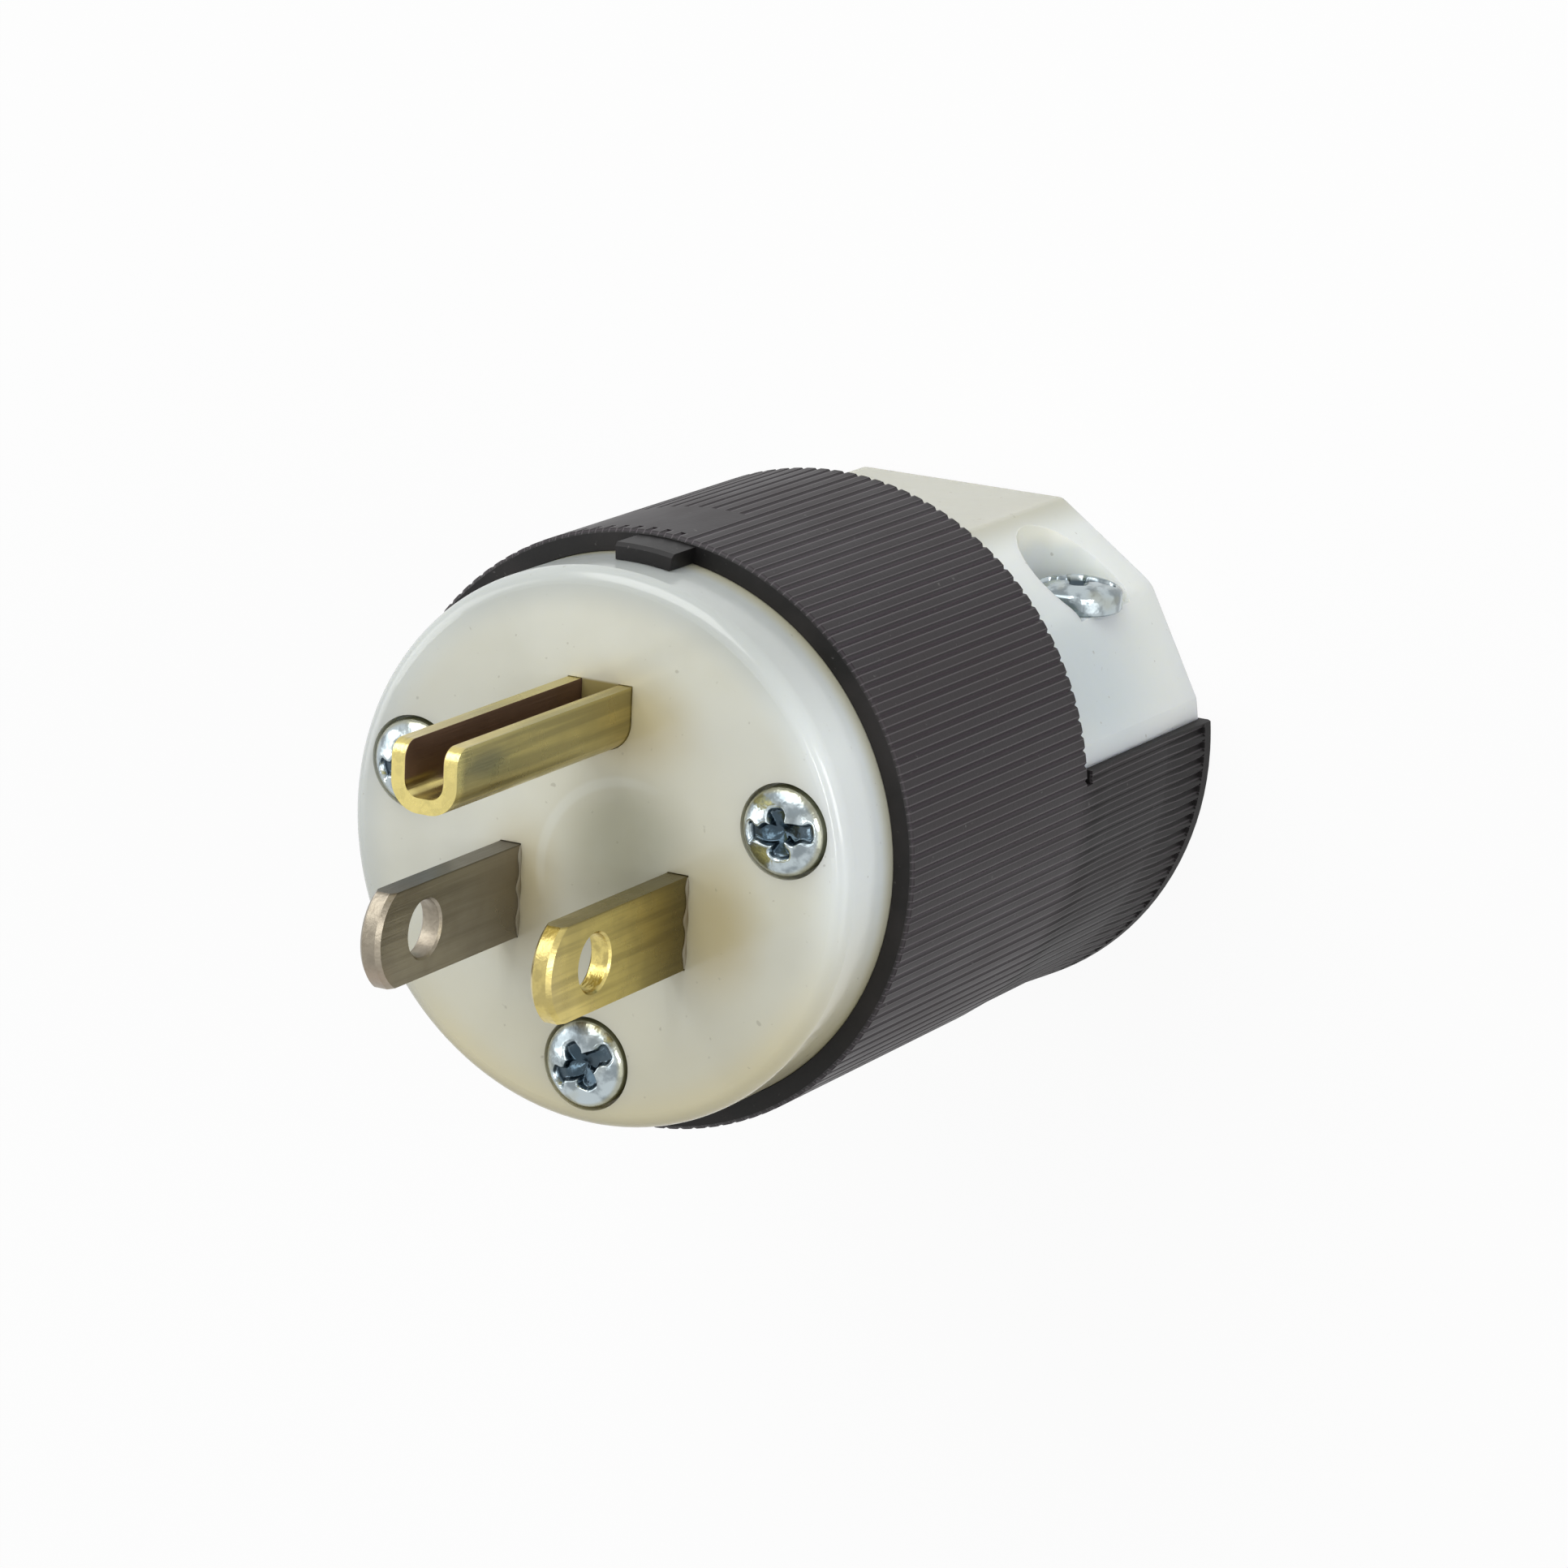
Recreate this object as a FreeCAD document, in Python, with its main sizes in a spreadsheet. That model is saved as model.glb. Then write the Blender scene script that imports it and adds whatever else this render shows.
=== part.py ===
# A wireable plug with two flat blades and a folded ground pin, built as it comes apart on a bench.
# Millimetres. +Z runs along the plug's axis towards the tips of the blades, +Y points from the
# axis to the ground pin, and the origin is the centre of the flat rear end that it stands on.
import FreeCAD, Part
import math
import os
from types import SimpleNamespace

import Sketcher
from FreeCAD import Placement, Rotation, Vector

doc = FreeCAD.newDocument("Plug")

# Driving sizes, in millimetres and degrees
SIZES = {
    # Stack along the axis, from the rear end up to the face
    "clamp_length": 19.2,
    "drum_length": 25.1,
    "face_rise": 6.2,
    "insert_depth": 4.0,
    # Outer shell: drum, ribs, marking pad and index key
    "shell_radius": 20.3,
    "shell_wall": 1.45,
    "rim_chamfer": 0.25,
    "rib_count": 120,
    "rib_depth": 0.18,
    "rib_groove": 0.42,
    "rib_clear": 0.7,
    "pad_start": 84.0,
    "pad_sweep": 27.0,
    "pad_drop": 1.2,
    "pad_height": 7.6,
    "key_start": 80.8,
    "key_sweep": 12.4,
    "key_rise": 3.0,
    "key_height": 1.12,
    "key_bevel": 0.25,
    # Outer shell: tongue behind the drum
    "tongue_wall": 2.0,
    "split_height": 2.12,
    "waist_depth": 0.12,
    "waist_run": 4.0,
    "flare_rise": 0.28,
    "flare_length": 6.5,
    "rear_band": 1.2,
    "rear_chamfer": 0.35,
    "rear_wall": 2.2,
    "relief_size": 0.9,
    # Outer shell: rear flange with the nut bosses of the face screws
    "flange_bore": 10.5,
    "flange_thickness": 2.0,
    "boss_radius": 4.4,
    "boss_rise": 2.7,
    # Cord way between the two halves of the clamp
    "cord_radius": 6.5,
    "cord_height": 1.0,
    "cord_flare": 1.2,
    "tooth_rise": 0.6,
    "tooth_width": 1.6,
    "tooth_first": 3.2,
    "tooth_pitch": 8.4,
    "tooth_half_span": 11.0,
    # Cord clamp: facets given by their distance from the axis and the angle of their normal
    "clamp_step": 0.65,
    "clamp_wall": 2.2,
    "flank_angle": 27.6,
    "flank_inset": 0.85,
    "side_angle": 55.1,
    "side_inset": 1.6,
    "top_inset": 3.19,
    "flank_round": 2.5,
    "top_round": 0.8,
    "rear_round": 0.6,
    # Clamp screws and their nuts
    "clamp_screw_inset": 7.0,
    "clamp_screw_z": 8.2,
    "clamp_seat_depth": 9.6,
    "clamp_head_radius": 3.3,
    "clamp_head_height": 2.1,
    "clamp_shank": 16.9,
    "well_radius": 4.4,
    "well_wall": 1.3,
    "clamp_boss_radius": 4.6,
    "clamp_grip": 13.58,
    "hole_end": 1.0,
    # Face screws
    "screw_inset": 4.36,
    "screw_lift": 14.8,
    "screw_radius": 1.7,
    "head_radius": 3.05,
    "head_height": 2.4,
    "head_proud": 1.0,
    "head_turn_right": 8.0,
    "head_turn_left": 20.0,
    "head_turn_lower": 32.0,
    "shoulder_width": 0.75,
    "shoulder_height": 0.5,
    "crown_height": 0.2,
    "recess_depth": 1.3,
    "recess_arm": 0.95,
    "recess_span": 3.7,
    "slot_depth": 0.55,
    "slot_width": 0.9,
    # Square nuts
    "nut_side": 5.5,
    "nut_thickness": 2.4,
    # Blades
    "blade_spacing": 12.7,
    "blade_line": 3.64,
    "blade_width": 6.35,
    "blade_thickness": 1.52,
    "blade_length": 17.1,
    "blade_tip_rise": 1.65,
    "blade_bevel": 0.28,
    "blade_hole_radius": 1.92,
    "blade_hole_height": 11.5,
    "blade_hole_bevel": 0.15,
    # Ground pin
    "ground_offset": 11.89,
    "ground_width": 4.8,
    "ground_sheet": 1.0,
    "ground_floor": 1.3,
    "ground_top": 3.15,
    "ground_length": 21.2,
    "ground_corner": 2.0,
    "ground_nose": 1.1,
    # White face insert
    "disc_gap": 0.05,
    "disc_round": 1.1,
    "counterbore_gap": 0.15,
    # Terminal block and what it holds
    "block_gap": 0.25,
    "pocket_floor": 2.1,
    "pocket_height": 10.0,
    "pocket_half_width": 3.6,
    "pocket_outer": 9.8,
    "pocket_inner": 2.4,
    "access_radius": 3.0,
    "wire_hole_radius": 2.4,
    "tail_clear": 1.0,
    "terminal_lift": 5.0,
    "terminal_radius": 1.5,
    "terminal_head_radius": 2.7,
    "terminal_head_height": 1.8,
    "terminal_slot_depth": 0.8,
    "wire_gap": 1.2,
    "plate_side": 6.4,
    "plate_thickness": 1.5,
    "screw_end": 0.3,
    # Clearances
    "slot_gap": 0.05,
    "hole_gap": 0.2,
    "thread_gap": 0.04,
    "nut_gap": 0.1,
}

sheet = doc.addObject("Spreadsheet::Sheet", "Sizes")
for row, (alias, number) in enumerate(SIZES.items(), start=1):
    sheet.set(f"A{row}", alias.replace("_", " "))
    sheet.set(f"B{row}", str(number))
    sheet.setAlias(f"B{row}", alias)
doc.recompute()


class Size:
    """A number that carries the sheet formula it is worked out by."""

    def __init__(self, number, formula=None):
        self.number = float(number)
        self.formula = repr(number) if formula is None else formula

    def mix(self, other, sign, number):
        return Size(number, f"({self.formula} {sign} {other.formula})")

    def __add__(self, other):
        other = as_size(other)
        return self.mix(other, "+", self.number + other.number)

    def __sub__(self, other):
        other = as_size(other)
        return self.mix(other, "-", self.number - other.number)

    def __mul__(self, other):
        other = as_size(other)
        return self.mix(other, "*", self.number * other.number)

    def __truediv__(self, other):
        other = as_size(other)
        return self.mix(other, "/", self.number / other.number)

    def __neg__(self):
        return Size(-self.number, f"(-1 * {self.formula})")

    def __radd__(self, other):
        return as_size(other) + self

    def __rsub__(self, other):
        return as_size(other) - self

    def __rmul__(self, other):
        return as_size(other) * self


def as_size(value):
    return value if isinstance(value, Size) else Size(value)


def cosine(angle):
    return Size(math.cos(math.radians(angle.number)), f"cos({angle.formula})")


def sine(angle):
    return Size(math.sin(math.radians(angle.number)), f"sin({angle.formula})")


s = SimpleNamespace(**{alias: Size(number, f"Sizes.{alias}") for alias, number in SIZES.items()})

# Levels along the axis
drum_rear = s.clamp_length
drum_front = s.clamp_length + s.drum_length
face_level = drum_front + s.face_rise
insert_rear = drum_front - s.insert_depth
block_rear = drum_rear + s.flange_thickness + s.boss_rise
pocket_bottom = block_rear + s.pocket_floor
pocket_top = pocket_bottom + s.pocket_height
terminal_level = pocket_bottom + s.terminal_lift
screw_seat = face_level + s.head_proud - s.head_height
nut_top = drum_rear + s.nut_thickness + s.nut_gap

# Radii and offsets that several pieces share
bore_radius = s.shell_radius - s.shell_wall
tongue_inner = s.shell_radius - s.tongue_wall
disc_radius = bore_radius - s.disc_gap
block_radius = bore_radius - s.block_gap
clamp_radius = s.shell_radius - s.clamp_step
top_reach = clamp_radius - s.top_inset
side_reach = clamp_radius - s.side_inset
flank_reach = clamp_radius - s.flank_inset
clamp_screw_x = s.shell_radius - s.clamp_screw_inset
clamp_seat = s.shell_radius - s.clamp_seat_depth
hole_radius = s.screw_radius + s.hole_gap
blade_x = s.blade_spacing / 2
ground_y = s.ground_offset - s.blade_line
ground_bottom = ground_y - s.ground_floor
nut_pocket = s.nut_side + 2 * s.nut_gap
clamp_nut_top = clamp_seat - s.clamp_grip
overrun = s.shell_radius + s.shell_wall

# Places of the three face screws: two beside the axis and one below it
screw_circle = bore_radius - s.screw_inset
side_x = screw_circle * cosine(s.screw_lift)
side_y = screw_circle * sine(s.screw_lift)
SCREW_PLACES = {
    "right": (side_x, side_y),
    "left": (-side_x, side_y),
    "lower": (Size(0), -screw_circle),
}
SCREW_TURNS = {"right": s.head_turn_right, "left": s.head_turn_left, "lower": s.head_turn_lower}
SIDES = {"right": 1, "left": -1}


# Bound features

def bind(thing, path, value):
    thing.setExpression(path, as_size(value).formula)


def place(thing, x=0, y=0, z=0, axis=None, angle=0):
    """Put a piece at x, y, z, turned by an angle about an axis, with each value tied to the sheet."""
    x, y, z, angle = as_size(x), as_size(y), as_size(z), as_size(angle)
    turn = Rotation(Vector(*axis), angle.number) if axis else Rotation()
    thing.Placement = Placement(Vector(x.number, y.number, z.number), turn)
    for letter, value in (("x", x), ("y", y), ("z", z)):
        bind(thing, f"Placement.Base.{letter}", value)
    if axis and "Sizes" in angle.formula:
        bind(thing, "Placement.Rotation.Angle", angle)
    return thing


def cylinder(name, radius, height, **where):
    thing = doc.addObject("Part::Cylinder", name)
    bind(thing, "Radius", radius)
    bind(thing, "Height", height)
    return place(thing, **where)


def cone(name, low_radius, high_radius, height, **where):
    thing = doc.addObject("Part::Cone", name)
    bind(thing, "Radius1", low_radius)
    bind(thing, "Radius2", high_radius)
    bind(thing, "Height", height)
    return place(thing, **where)


def box(name, low, high):
    """A box between two corners."""
    thing = doc.addObject("Part::Box", name)
    low = [as_size(value) for value in low]
    high = [as_size(value) for value in high]
    for path, start, end in zip(("Length", "Width", "Height"), low, high):
        bind(thing, path, end - start)
    return place(thing, *low)


def fuse(name, *things):
    result = doc.addObject("Part::MultiFuse", name)
    result.Shapes = list(things)
    return result


def common(name, *things):
    result = doc.addObject("Part::MultiCommon", name)
    result.Shapes = list(things)
    return result


def cut(name, base, *tools):
    result = doc.addObject("Part::Cut", name)
    result.Base = base
    result.Tool = tools[0] if len(tools) == 1 else fuse(name + "_cutters", *tools)
    return result


def new_body(name):
    return doc.addObject("PartDesign::Body", name)


def new_sketch(body, name, role="XY_Plane", lift=0, turn=0):
    """A sketch on one of the body's own origin planes, lifted along that plane's normal and
    turned about it."""
    lift, turn = as_size(lift), as_size(turn)
    plane = next(item for item in body.Origin.OriginFeatures if item.Role == role)
    sketch = body.newObject("Sketcher::SketchObject", name)
    sketch.AttachmentSupport = [(plane, "")]
    sketch.MapMode = "FlatFace"
    sketch.AttachmentOffset = Placement(Vector(0, 0, lift.number), Rotation(Vector(0, 0, 1), turn.number))
    bind(sketch, "AttachmentOffset.Base.z", lift)
    if turn.number:
        bind(sketch, "AttachmentOffset.Rotation.Angle", turn)
    return sketch


def tie(sketch, element, point, x, y):
    """Hold one point of a sketch element at x and y from the sketch's origin."""
    for kind, value in (("DistanceX", as_size(x)), ("DistanceY", as_size(y))):
        held = sketch.addConstraint(Sketcher.Constraint(kind, -1, 1, element, point, value.number))
        bind(sketch, f"Constraints[{held}]", value)


def flat(point):
    return Vector(as_size(point[0]).number, as_size(point[1]).number, 0)


def outline(sketch, points, arcs=None):
    """A closed outline through the points, anticlockwise. arcs gives, for the side that starts at
    a point's number, the rise of a circular arc over that side: outward, or inward if negative."""
    arcs = arcs or {}
    first = sketch.GeometryCount
    count = len(points)
    starts = []
    for number in range(count):
        start, end = flat(points[number]), flat(points[(number + 1) % count])
        if number in arcs:
            chord = end - start
            outward = Vector(chord.y, -chord.x, 0).normalize()
            crown = (start + end) * 0.5 + outward * as_size(arcs[number]).number
            element = sketch.addGeometry(Part.Arc(start, crown, end), False)
            ahead = sketch.getPoint(element, 1).distanceToPoint(start) < chord.Length / 2
        else:
            element = sketch.addGeometry(Part.LineSegment(start, end), False)
            ahead = True
        starts.append((element, 1 if ahead else 2, 2 if ahead else 1))
    for number in range(count):
        element, head, tail = starts[number]
        after, after_head, _ = starts[(number + 1) % count]
        sketch.addConstraint(Sketcher.Constraint("Coincident", element, tail, after, after_head))
        tie(sketch, element, head, *points[number])
    for number, rise in arcs.items():
        start, end = points[number], points[(number + 1) % count]
        half_x = (as_size(end[0]) - as_size(start[0])) / 2
        half_y = (as_size(end[1]) - as_size(start[1])) / 2
        rise = as_size(rise)
        radius = (half_x * half_x + half_y * half_y + rise * rise) / (2 * rise)
        if rise.number < 0:
            radius = -radius
        held = sketch.addConstraint(Sketcher.Constraint("Radius", first + number, radius.number))
        bind(sketch, f"Constraints[{held}]", radius)
    return sketch


def rectangle(sketch, low, high):
    return outline(sketch, [low, (high[0], low[1]), high, (low[0], high[1])])


def circle(sketch, x, y, radius):
    x, y, radius = as_size(x), as_size(y), as_size(radius)
    element = sketch.addGeometry(Part.Circle(Vector(x.number, y.number, 0), Vector(0, 0, 1), radius.number))
    tie(sketch, element, 3, x, y)
    held = sketch.addConstraint(Sketcher.Constraint("Radius", element, radius.number))
    bind(sketch, f"Constraints[{held}]", radius)
    return sketch


def pad(body, name, sketch, length, symmetric=False):
    feature = body.newObject("PartDesign::Pad", name)
    feature.Profile = sketch
    if symmetric:
        feature.SideType = "Symmetric"
    bind(feature, "Length", length)
    return feature


def pocket(body, name, sketch, depth=None, upward=False):
    """A cut from the sketch, down its normal or up it, to a depth or right through."""
    feature = body.newObject("PartDesign::Pocket", name)
    feature.Profile = sketch
    feature.Reversed = upward
    if depth is None:
        feature.Type = "ThroughAll"
    else:
        bind(feature, "Length", depth)
    return feature


def revolve(body, name, sketch, angle=360):
    feature = body.newObject("PartDesign::Revolution", name)
    feature.Profile = sketch
    feature.ReferenceAxis = (sketch, ["V_Axis"])
    feature.Angle = 360
    bind(feature, "Angle", angle)
    return feature


def dress(body, kind, name, size, wanted):
    """A fillet or chamfer on the edges of the body's last feature that the test picks."""
    doc.recompute()
    base = body.Tip
    edges = [f"Edge{number}" for number, edge in enumerate(base.Shape.Edges, start=1) if wanted(edge)]
    feature = body.newObject(f"PartDesign::{kind}", name)
    feature.Base = (base, edges)
    bind(feature, "Radius" if kind == "Fillet" else "Size", size)
    return feature


def near(value, size):
    return abs(value - as_size(size).number) < 1e-4


def along(edge, axis):
    """True for a straight edge that runs along an axis."""
    if len(edge.Vertexes) != 2 or not isinstance(edge.Curve, Part.Line):
        return False
    return abs(edge.tangentAt(edge.FirstParameter).dot(Vector(*axis))) > 0.999


def is_round(edge, radius):
    return isinstance(edge.Curve, Part.Circle) and near(edge.Curve.Radius, radius)


# Outer shell: a turned form with half of its rear cut away, and one groove repeated round it

def shell_form():
    body = new_body("shell_form")
    flare_radius = s.shell_radius + s.flare_rise
    waist_radius = s.shell_radius - s.waist_depth
    flange_top = drum_rear + s.flange_thickness
    wall_start = s.cord_radius - s.cord_height - s.cord_flare
    profile = outline(new_sketch(body, "shell_profile", "XZ_Plane"), [
        (wall_start, 0),
        (flare_radius - s.rear_chamfer, 0),
        (flare_radius, s.rear_chamfer),
        (waist_radius, s.flare_length),
        (waist_radius, drum_rear - s.waist_run),
        (s.shell_radius, drum_rear),
        (s.shell_radius, drum_front - s.rim_chamfer),
        (s.shell_radius - s.rim_chamfer, drum_front),
        (bore_radius, drum_front),
        (bore_radius, flange_top),
        (s.flange_bore, flange_top),
        (s.flange_bore, drum_rear),
        (tongue_inner, drum_rear),
        (tongue_inner, s.rear_wall),
        (wall_start, s.rear_wall),
    ])
    revolve(body, "shell_turned", profile)
    rear_half = rectangle(new_sketch(body, "rear_half"), (-overrun, s.split_height), (overrun, overrun))
    pocket(body, "shell_split", rear_half, drum_rear, upward=True)
    groove_root = s.shell_radius - s.rib_depth
    groove_mouth = s.shell_radius + s.rib_clear
    groove_half = s.rib_groove / 2 * (s.rib_depth + s.rib_clear) / s.rib_depth
    half_pitch = as_size(180) / s.rib_count
    groove = outline(new_sketch(body, "rib_groove_section", lift=s.rear_band, turn=half_pitch), [
        (groove_root, 0),
        (groove_mouth, groove_half),
        (groove_mouth, -groove_half),
    ])
    first = pocket(body, "rib_groove_cut", groove, upward=True)
    doc.recompute()
    ribs = body.newObject("PartDesign::PolarPattern", "ribs")
    ribs.Originals = [first]
    ribs.Axis = (groove, ["N_Axis"])
    ribs.Angle = 360
    bind(ribs, "Occurrences", s.rib_count)
    body.Tip = ribs
    return body


def marking_pad():
    """The smooth field near the front of the drum, where the ribs stop. It is left bare."""
    body = new_body("marking_pad")
    top = drum_front - s.pad_drop
    section = rectangle(new_sketch(body, "pad_section", "XZ_Plane"),
                        (s.shell_radius - s.shell_wall / 2, top - s.pad_height), (s.shell_radius, top))
    revolve(body, "pad_turned", section, s.pad_sweep)
    return place(body, axis=(0, 0, 1), angle=s.pad_start)


def index_key():
    """The short key that stands up from the front rim, between the bore and the grooves."""
    body = new_body("index_key")
    outer = bore_radius + s.key_height
    top = drum_front + s.key_rise
    section = outline(new_sketch(body, "key_section", "XZ_Plane"), [
        (bore_radius, drum_front - s.pad_drop),
        (outer, drum_front - s.pad_drop),
        (outer, top - s.key_bevel),
        (outer - s.key_bevel, top),
        (bore_radius, top),
    ])
    revolve(body, "key_turned", section, s.key_sweep)
    return place(body, axis=(0, 0, 1), angle=s.key_start)


def cord_way():
    """The round way that the cord takes through both halves of the clamp, tighter at the teeth."""
    mouth = cone("cord_mouth", s.cord_radius + s.cord_flare, s.cord_radius, s.cord_flare, y=s.cord_height)
    wide = cylinder("cord_wide", s.cord_radius, s.tooth_first - s.cord_flare, y=s.cord_height, z=s.cord_flare)
    tight = cylinder("cord_tight", s.cord_radius - s.tooth_rise, drum_rear - s.tooth_first,
                     y=s.cord_height, z=s.tooth_first)
    return fuse("cord_way", mouth, wide, tight)


def teeth(name, low_y, high_y):
    """Two walls across the clamp, whose edges grip the cord."""
    walls = []
    for number in range(2):
        level = s.tooth_first + number * s.tooth_pitch
        walls.append(box(f"{name}_{number + 1}", (-s.tooth_half_span, low_y, level),
                         (s.tooth_half_span, high_y, level + s.tooth_width)))
    return walls


def nut_box(name, x, y, top):
    half = nut_pocket / 2
    return box(name, (x - half, y - half, drum_rear), (x + half, y + half, top))


def outer_shell(form, way):
    inside = cylinder("tongue_core", tongue_inner + s.tongue_wall / 2, drum_rear)
    fillers = teeth("tongue_tooth", -s.shell_radius, s.split_height)
    cutters = [way]
    for side, sign in SIDES.items():
        x = sign * clamp_screw_x
        fillers.append(cylinder(f"clamp_boss_{side}", s.clamp_boss_radius, s.shell_radius,
                                x=x, y=s.split_height, z=s.clamp_screw_z, axis=(1, 0, 0), angle=90))
        depth = s.clamp_shank - (clamp_seat - s.split_height) + s.hole_end
        cutters.append(cylinder(f"clamp_hole_{side}", hole_radius, depth,
                                x=x, y=s.split_height, z=s.clamp_screw_z, axis=(1, 0, 0), angle=90))
        mouth = sign * (clamp_screw_x - s.clamp_boss_radius - s.nut_gap)
        end = sign * (clamp_screw_x + nut_pocket / 2)
        low, high = (mouth, end) if sign > 0 else (end, mouth)
        half = nut_pocket / 2
        cutters.append(box(f"clamp_nut_slot_{side}",
                           (low, clamp_nut_top - s.nut_thickness - 2 * s.nut_gap, s.clamp_screw_z - half),
                           (high, clamp_nut_top, s.clamp_screw_z + half)))
    filling = common("tongue_filling", fuse("tongue_fillers", *fillers), inside)
    bosses = []
    for name, (x, y) in SCREW_PLACES.items():
        bosses.append(cylinder(f"nut_boss_{name}", s.boss_radius, block_rear - drum_rear, x=x, y=y, z=drum_rear))
        cutters.append(nut_box(f"nut_pocket_{name}", x, y, nut_top))
        cutters.append(cylinder(f"shell_hole_{name}", hole_radius, block_rear - drum_rear, x=x, y=y, z=drum_rear))
    boss_limit = cylinder("boss_limit", bore_radius + s.shell_wall / 2, s.drum_length, z=drum_rear)
    bossed = common("nut_bosses", fuse("boss_columns", *bosses), boss_limit)
    cutters.append(box("relief", (-overrun, s.split_height - s.relief_size, drum_rear - s.relief_size),
                       (overrun, s.split_height, drum_rear)))
    whole = fuse("shell_whole", form, marking_pad(), index_key(), filling, bossed)
    return cut("outer_shell", whole, *cutters)


# Cord clamp: a faceted cap that tapers to the rear, hollow, with two screw wells

def clamp_section(body, name, inset, lift, bottom):
    """The clamp's outline less an inset: a flat top, two slanted sides and two steep flanks."""
    flank, side, top = flank_reach - inset, side_reach - inset, top_reach - inset
    spread = sine(s.side_angle - s.flank_angle)
    foot_x = (flank - bottom * sine(s.flank_angle)) / cosine(s.flank_angle)
    waist_x = (flank * sine(s.side_angle) - side * sine(s.flank_angle)) / spread
    waist_y = (side * cosine(s.flank_angle) - flank * cosine(s.side_angle)) / spread
    crown_x = (side - top * sine(s.side_angle)) / cosine(s.side_angle)
    return outline(new_sketch(body, name, lift=lift), [
        (foot_x, bottom),
        (waist_x, waist_y),
        (crown_x, top),
        (-crown_x, top),
        (-waist_x, waist_y),
        (-foot_x, bottom),
    ])


def clamp_form():
    body = new_body("clamp_form")
    section = clamp_section(body, "clamp_section", Size(0), Size(0), s.split_height)
    pad(body, "clamp_prism", section, s.clamp_length)
    crown = top_reach.number - 0.1
    foot = s.split_height.number + 0.1

    def height(edge):
        return edge.BoundBox.YMax

    def flank_edge(edge):
        return along(edge, (0, 0, 1)) and foot < height(edge) < crown

    def top_edge(edge):
        return along(edge, (0, 0, 1)) and height(edge) > crown

    def rear_edge(edge):
        return edge.BoundBox.ZMax < 0.01 and height(edge) > foot

    dress(body, "Fillet", "flank_rounding", s.flank_round, flank_edge)
    dress(body, "Fillet", "top_rounding", s.top_round, top_edge)
    dress(body, "Fillet", "rear_rounding", s.rear_round, rear_edge)
    return body


def clamp_limit():
    """The round envelope that trims the clamp's lower edges, with the same rounded rear."""
    body = new_body("clamp_limit")
    chord_rise = s.rear_round * (1 - cosine(Size(45)))
    profile = outline(new_sketch(body, "clamp_limit_profile", "XZ_Plane"), [
        (0, 0),
        (clamp_radius - s.rear_round, 0),
        (clamp_radius, s.rear_round),
        (clamp_radius, s.clamp_length),
        (0, s.clamp_length),
    ], arcs={1: chord_rise})
    revolve(body, "clamp_limit_turned", profile)
    return body


def clamp_hollow():
    body = new_body("clamp_hollow")
    section = clamp_section(body, "hollow_section", s.clamp_wall, s.rear_wall, s.split_height - s.clamp_wall)
    pad(body, "hollow_prism", section, s.clamp_length - s.rear_wall)
    return body


def cord_clamp(way):
    outside = common("clamp_outside", clamp_form(), clamp_limit())
    hollow_limit = cylinder("clamp_hollow_limit", clamp_radius - s.clamp_wall, s.clamp_length)
    hollow = common("clamp_inside", clamp_hollow(), hollow_limit)
    fillers = teeth("clamp_tooth", s.split_height, s.shell_radius)
    cutters = [way]
    for side, sign in SIDES.items():
        where = {"x": sign * clamp_screw_x, "z": s.clamp_screw_z, "axis": (1, 0, 0), "angle": -90}
        fillers.append(cylinder(f"well_wall_{side}", s.well_radius + s.well_wall, s.shell_radius,
                                y=s.split_height, **where))
        cutters.append(cylinder(f"well_{side}", s.well_radius, s.shell_radius, y=clamp_seat, **where))
        cutters.append(cylinder(f"well_hole_{side}", hole_radius, s.shell_radius, y=s.split_height, **where))
    inside = common("clamp_filling", fuse("clamp_fillers", *fillers), outside)
    cap = cut("clamp_cap", outside, hollow)
    return cut("cord_clamp", fuse("clamp_whole", cap, inside), *cutters)


# White face insert with the slots of the blades and the wells of the screw heads

def face_insert():
    body = new_body("face_insert")
    disc = circle(new_sketch(body, "disc_section", lift=insert_rear), 0, 0, disc_radius)
    pad(body, "disc", disc, face_level - insert_rear)

    def front_edge(edge):
        return is_round(edge, disc_radius) and near(edge.Curve.Center.z, face_level)

    dress(body, "Fillet", "disc_rounding", s.disc_round, front_edge)
    slots = new_sketch(body, "slot_sections", lift=insert_rear)
    for sign in SIDES.values():
        half_x = s.blade_thickness / 2 + s.slot_gap
        half_y = s.blade_width / 2 + s.slot_gap
        rectangle(slots, (sign * blade_x - half_x, -s.blade_line - half_y),
                  (sign * blade_x + half_x, half_y - s.blade_line))
    ground_section(slots, s.slot_gap)
    for x, y in SCREW_PLACES.values():
        circle(slots, x, y, hole_radius)
    pocket(body, "slots", slots, upward=True)
    wells = new_sketch(body, "well_sections", lift=face_level)
    for x, y in SCREW_PLACES.values():
        circle(wells, x, y, s.head_radius + s.counterbore_gap)
    pocket(body, "wells", wells, face_level - screw_seat)
    return body


# Blades and ground pin

def corner_rise(radius):
    """How far a quarter circle rises over its chord."""
    return radius * (1 - cosine(Size(45)))


def ground_section(sketch, gap):
    """The ground pin's folded section, open at the top, with a gap all round."""
    half = s.ground_width / 2 + gap
    inner = half - s.ground_sheet - 2 * gap
    bottom = ground_bottom - gap
    floor = bottom + s.ground_sheet + 2 * gap
    top = ground_y + s.ground_top + gap
    outside = s.ground_corner + gap
    inside = outside - s.ground_sheet - 2 * gap
    return outline(sketch, [
        (-half, top),
        (-half, bottom + outside),
        (outside - half, bottom),
        (half - outside, bottom),
        (half, bottom + outside),
        (half, top),
        (inner, top),
        (inner, floor + inside),
        (inner - inside, floor),
        (inside - inner, floor),
        (-inner, floor + inside),
        (-inner, top),
    ], arcs={1: corner_rise(outside), 3: corner_rise(outside), 7: -corner_rise(inside), 9: -corner_rise(inside)})


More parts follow.
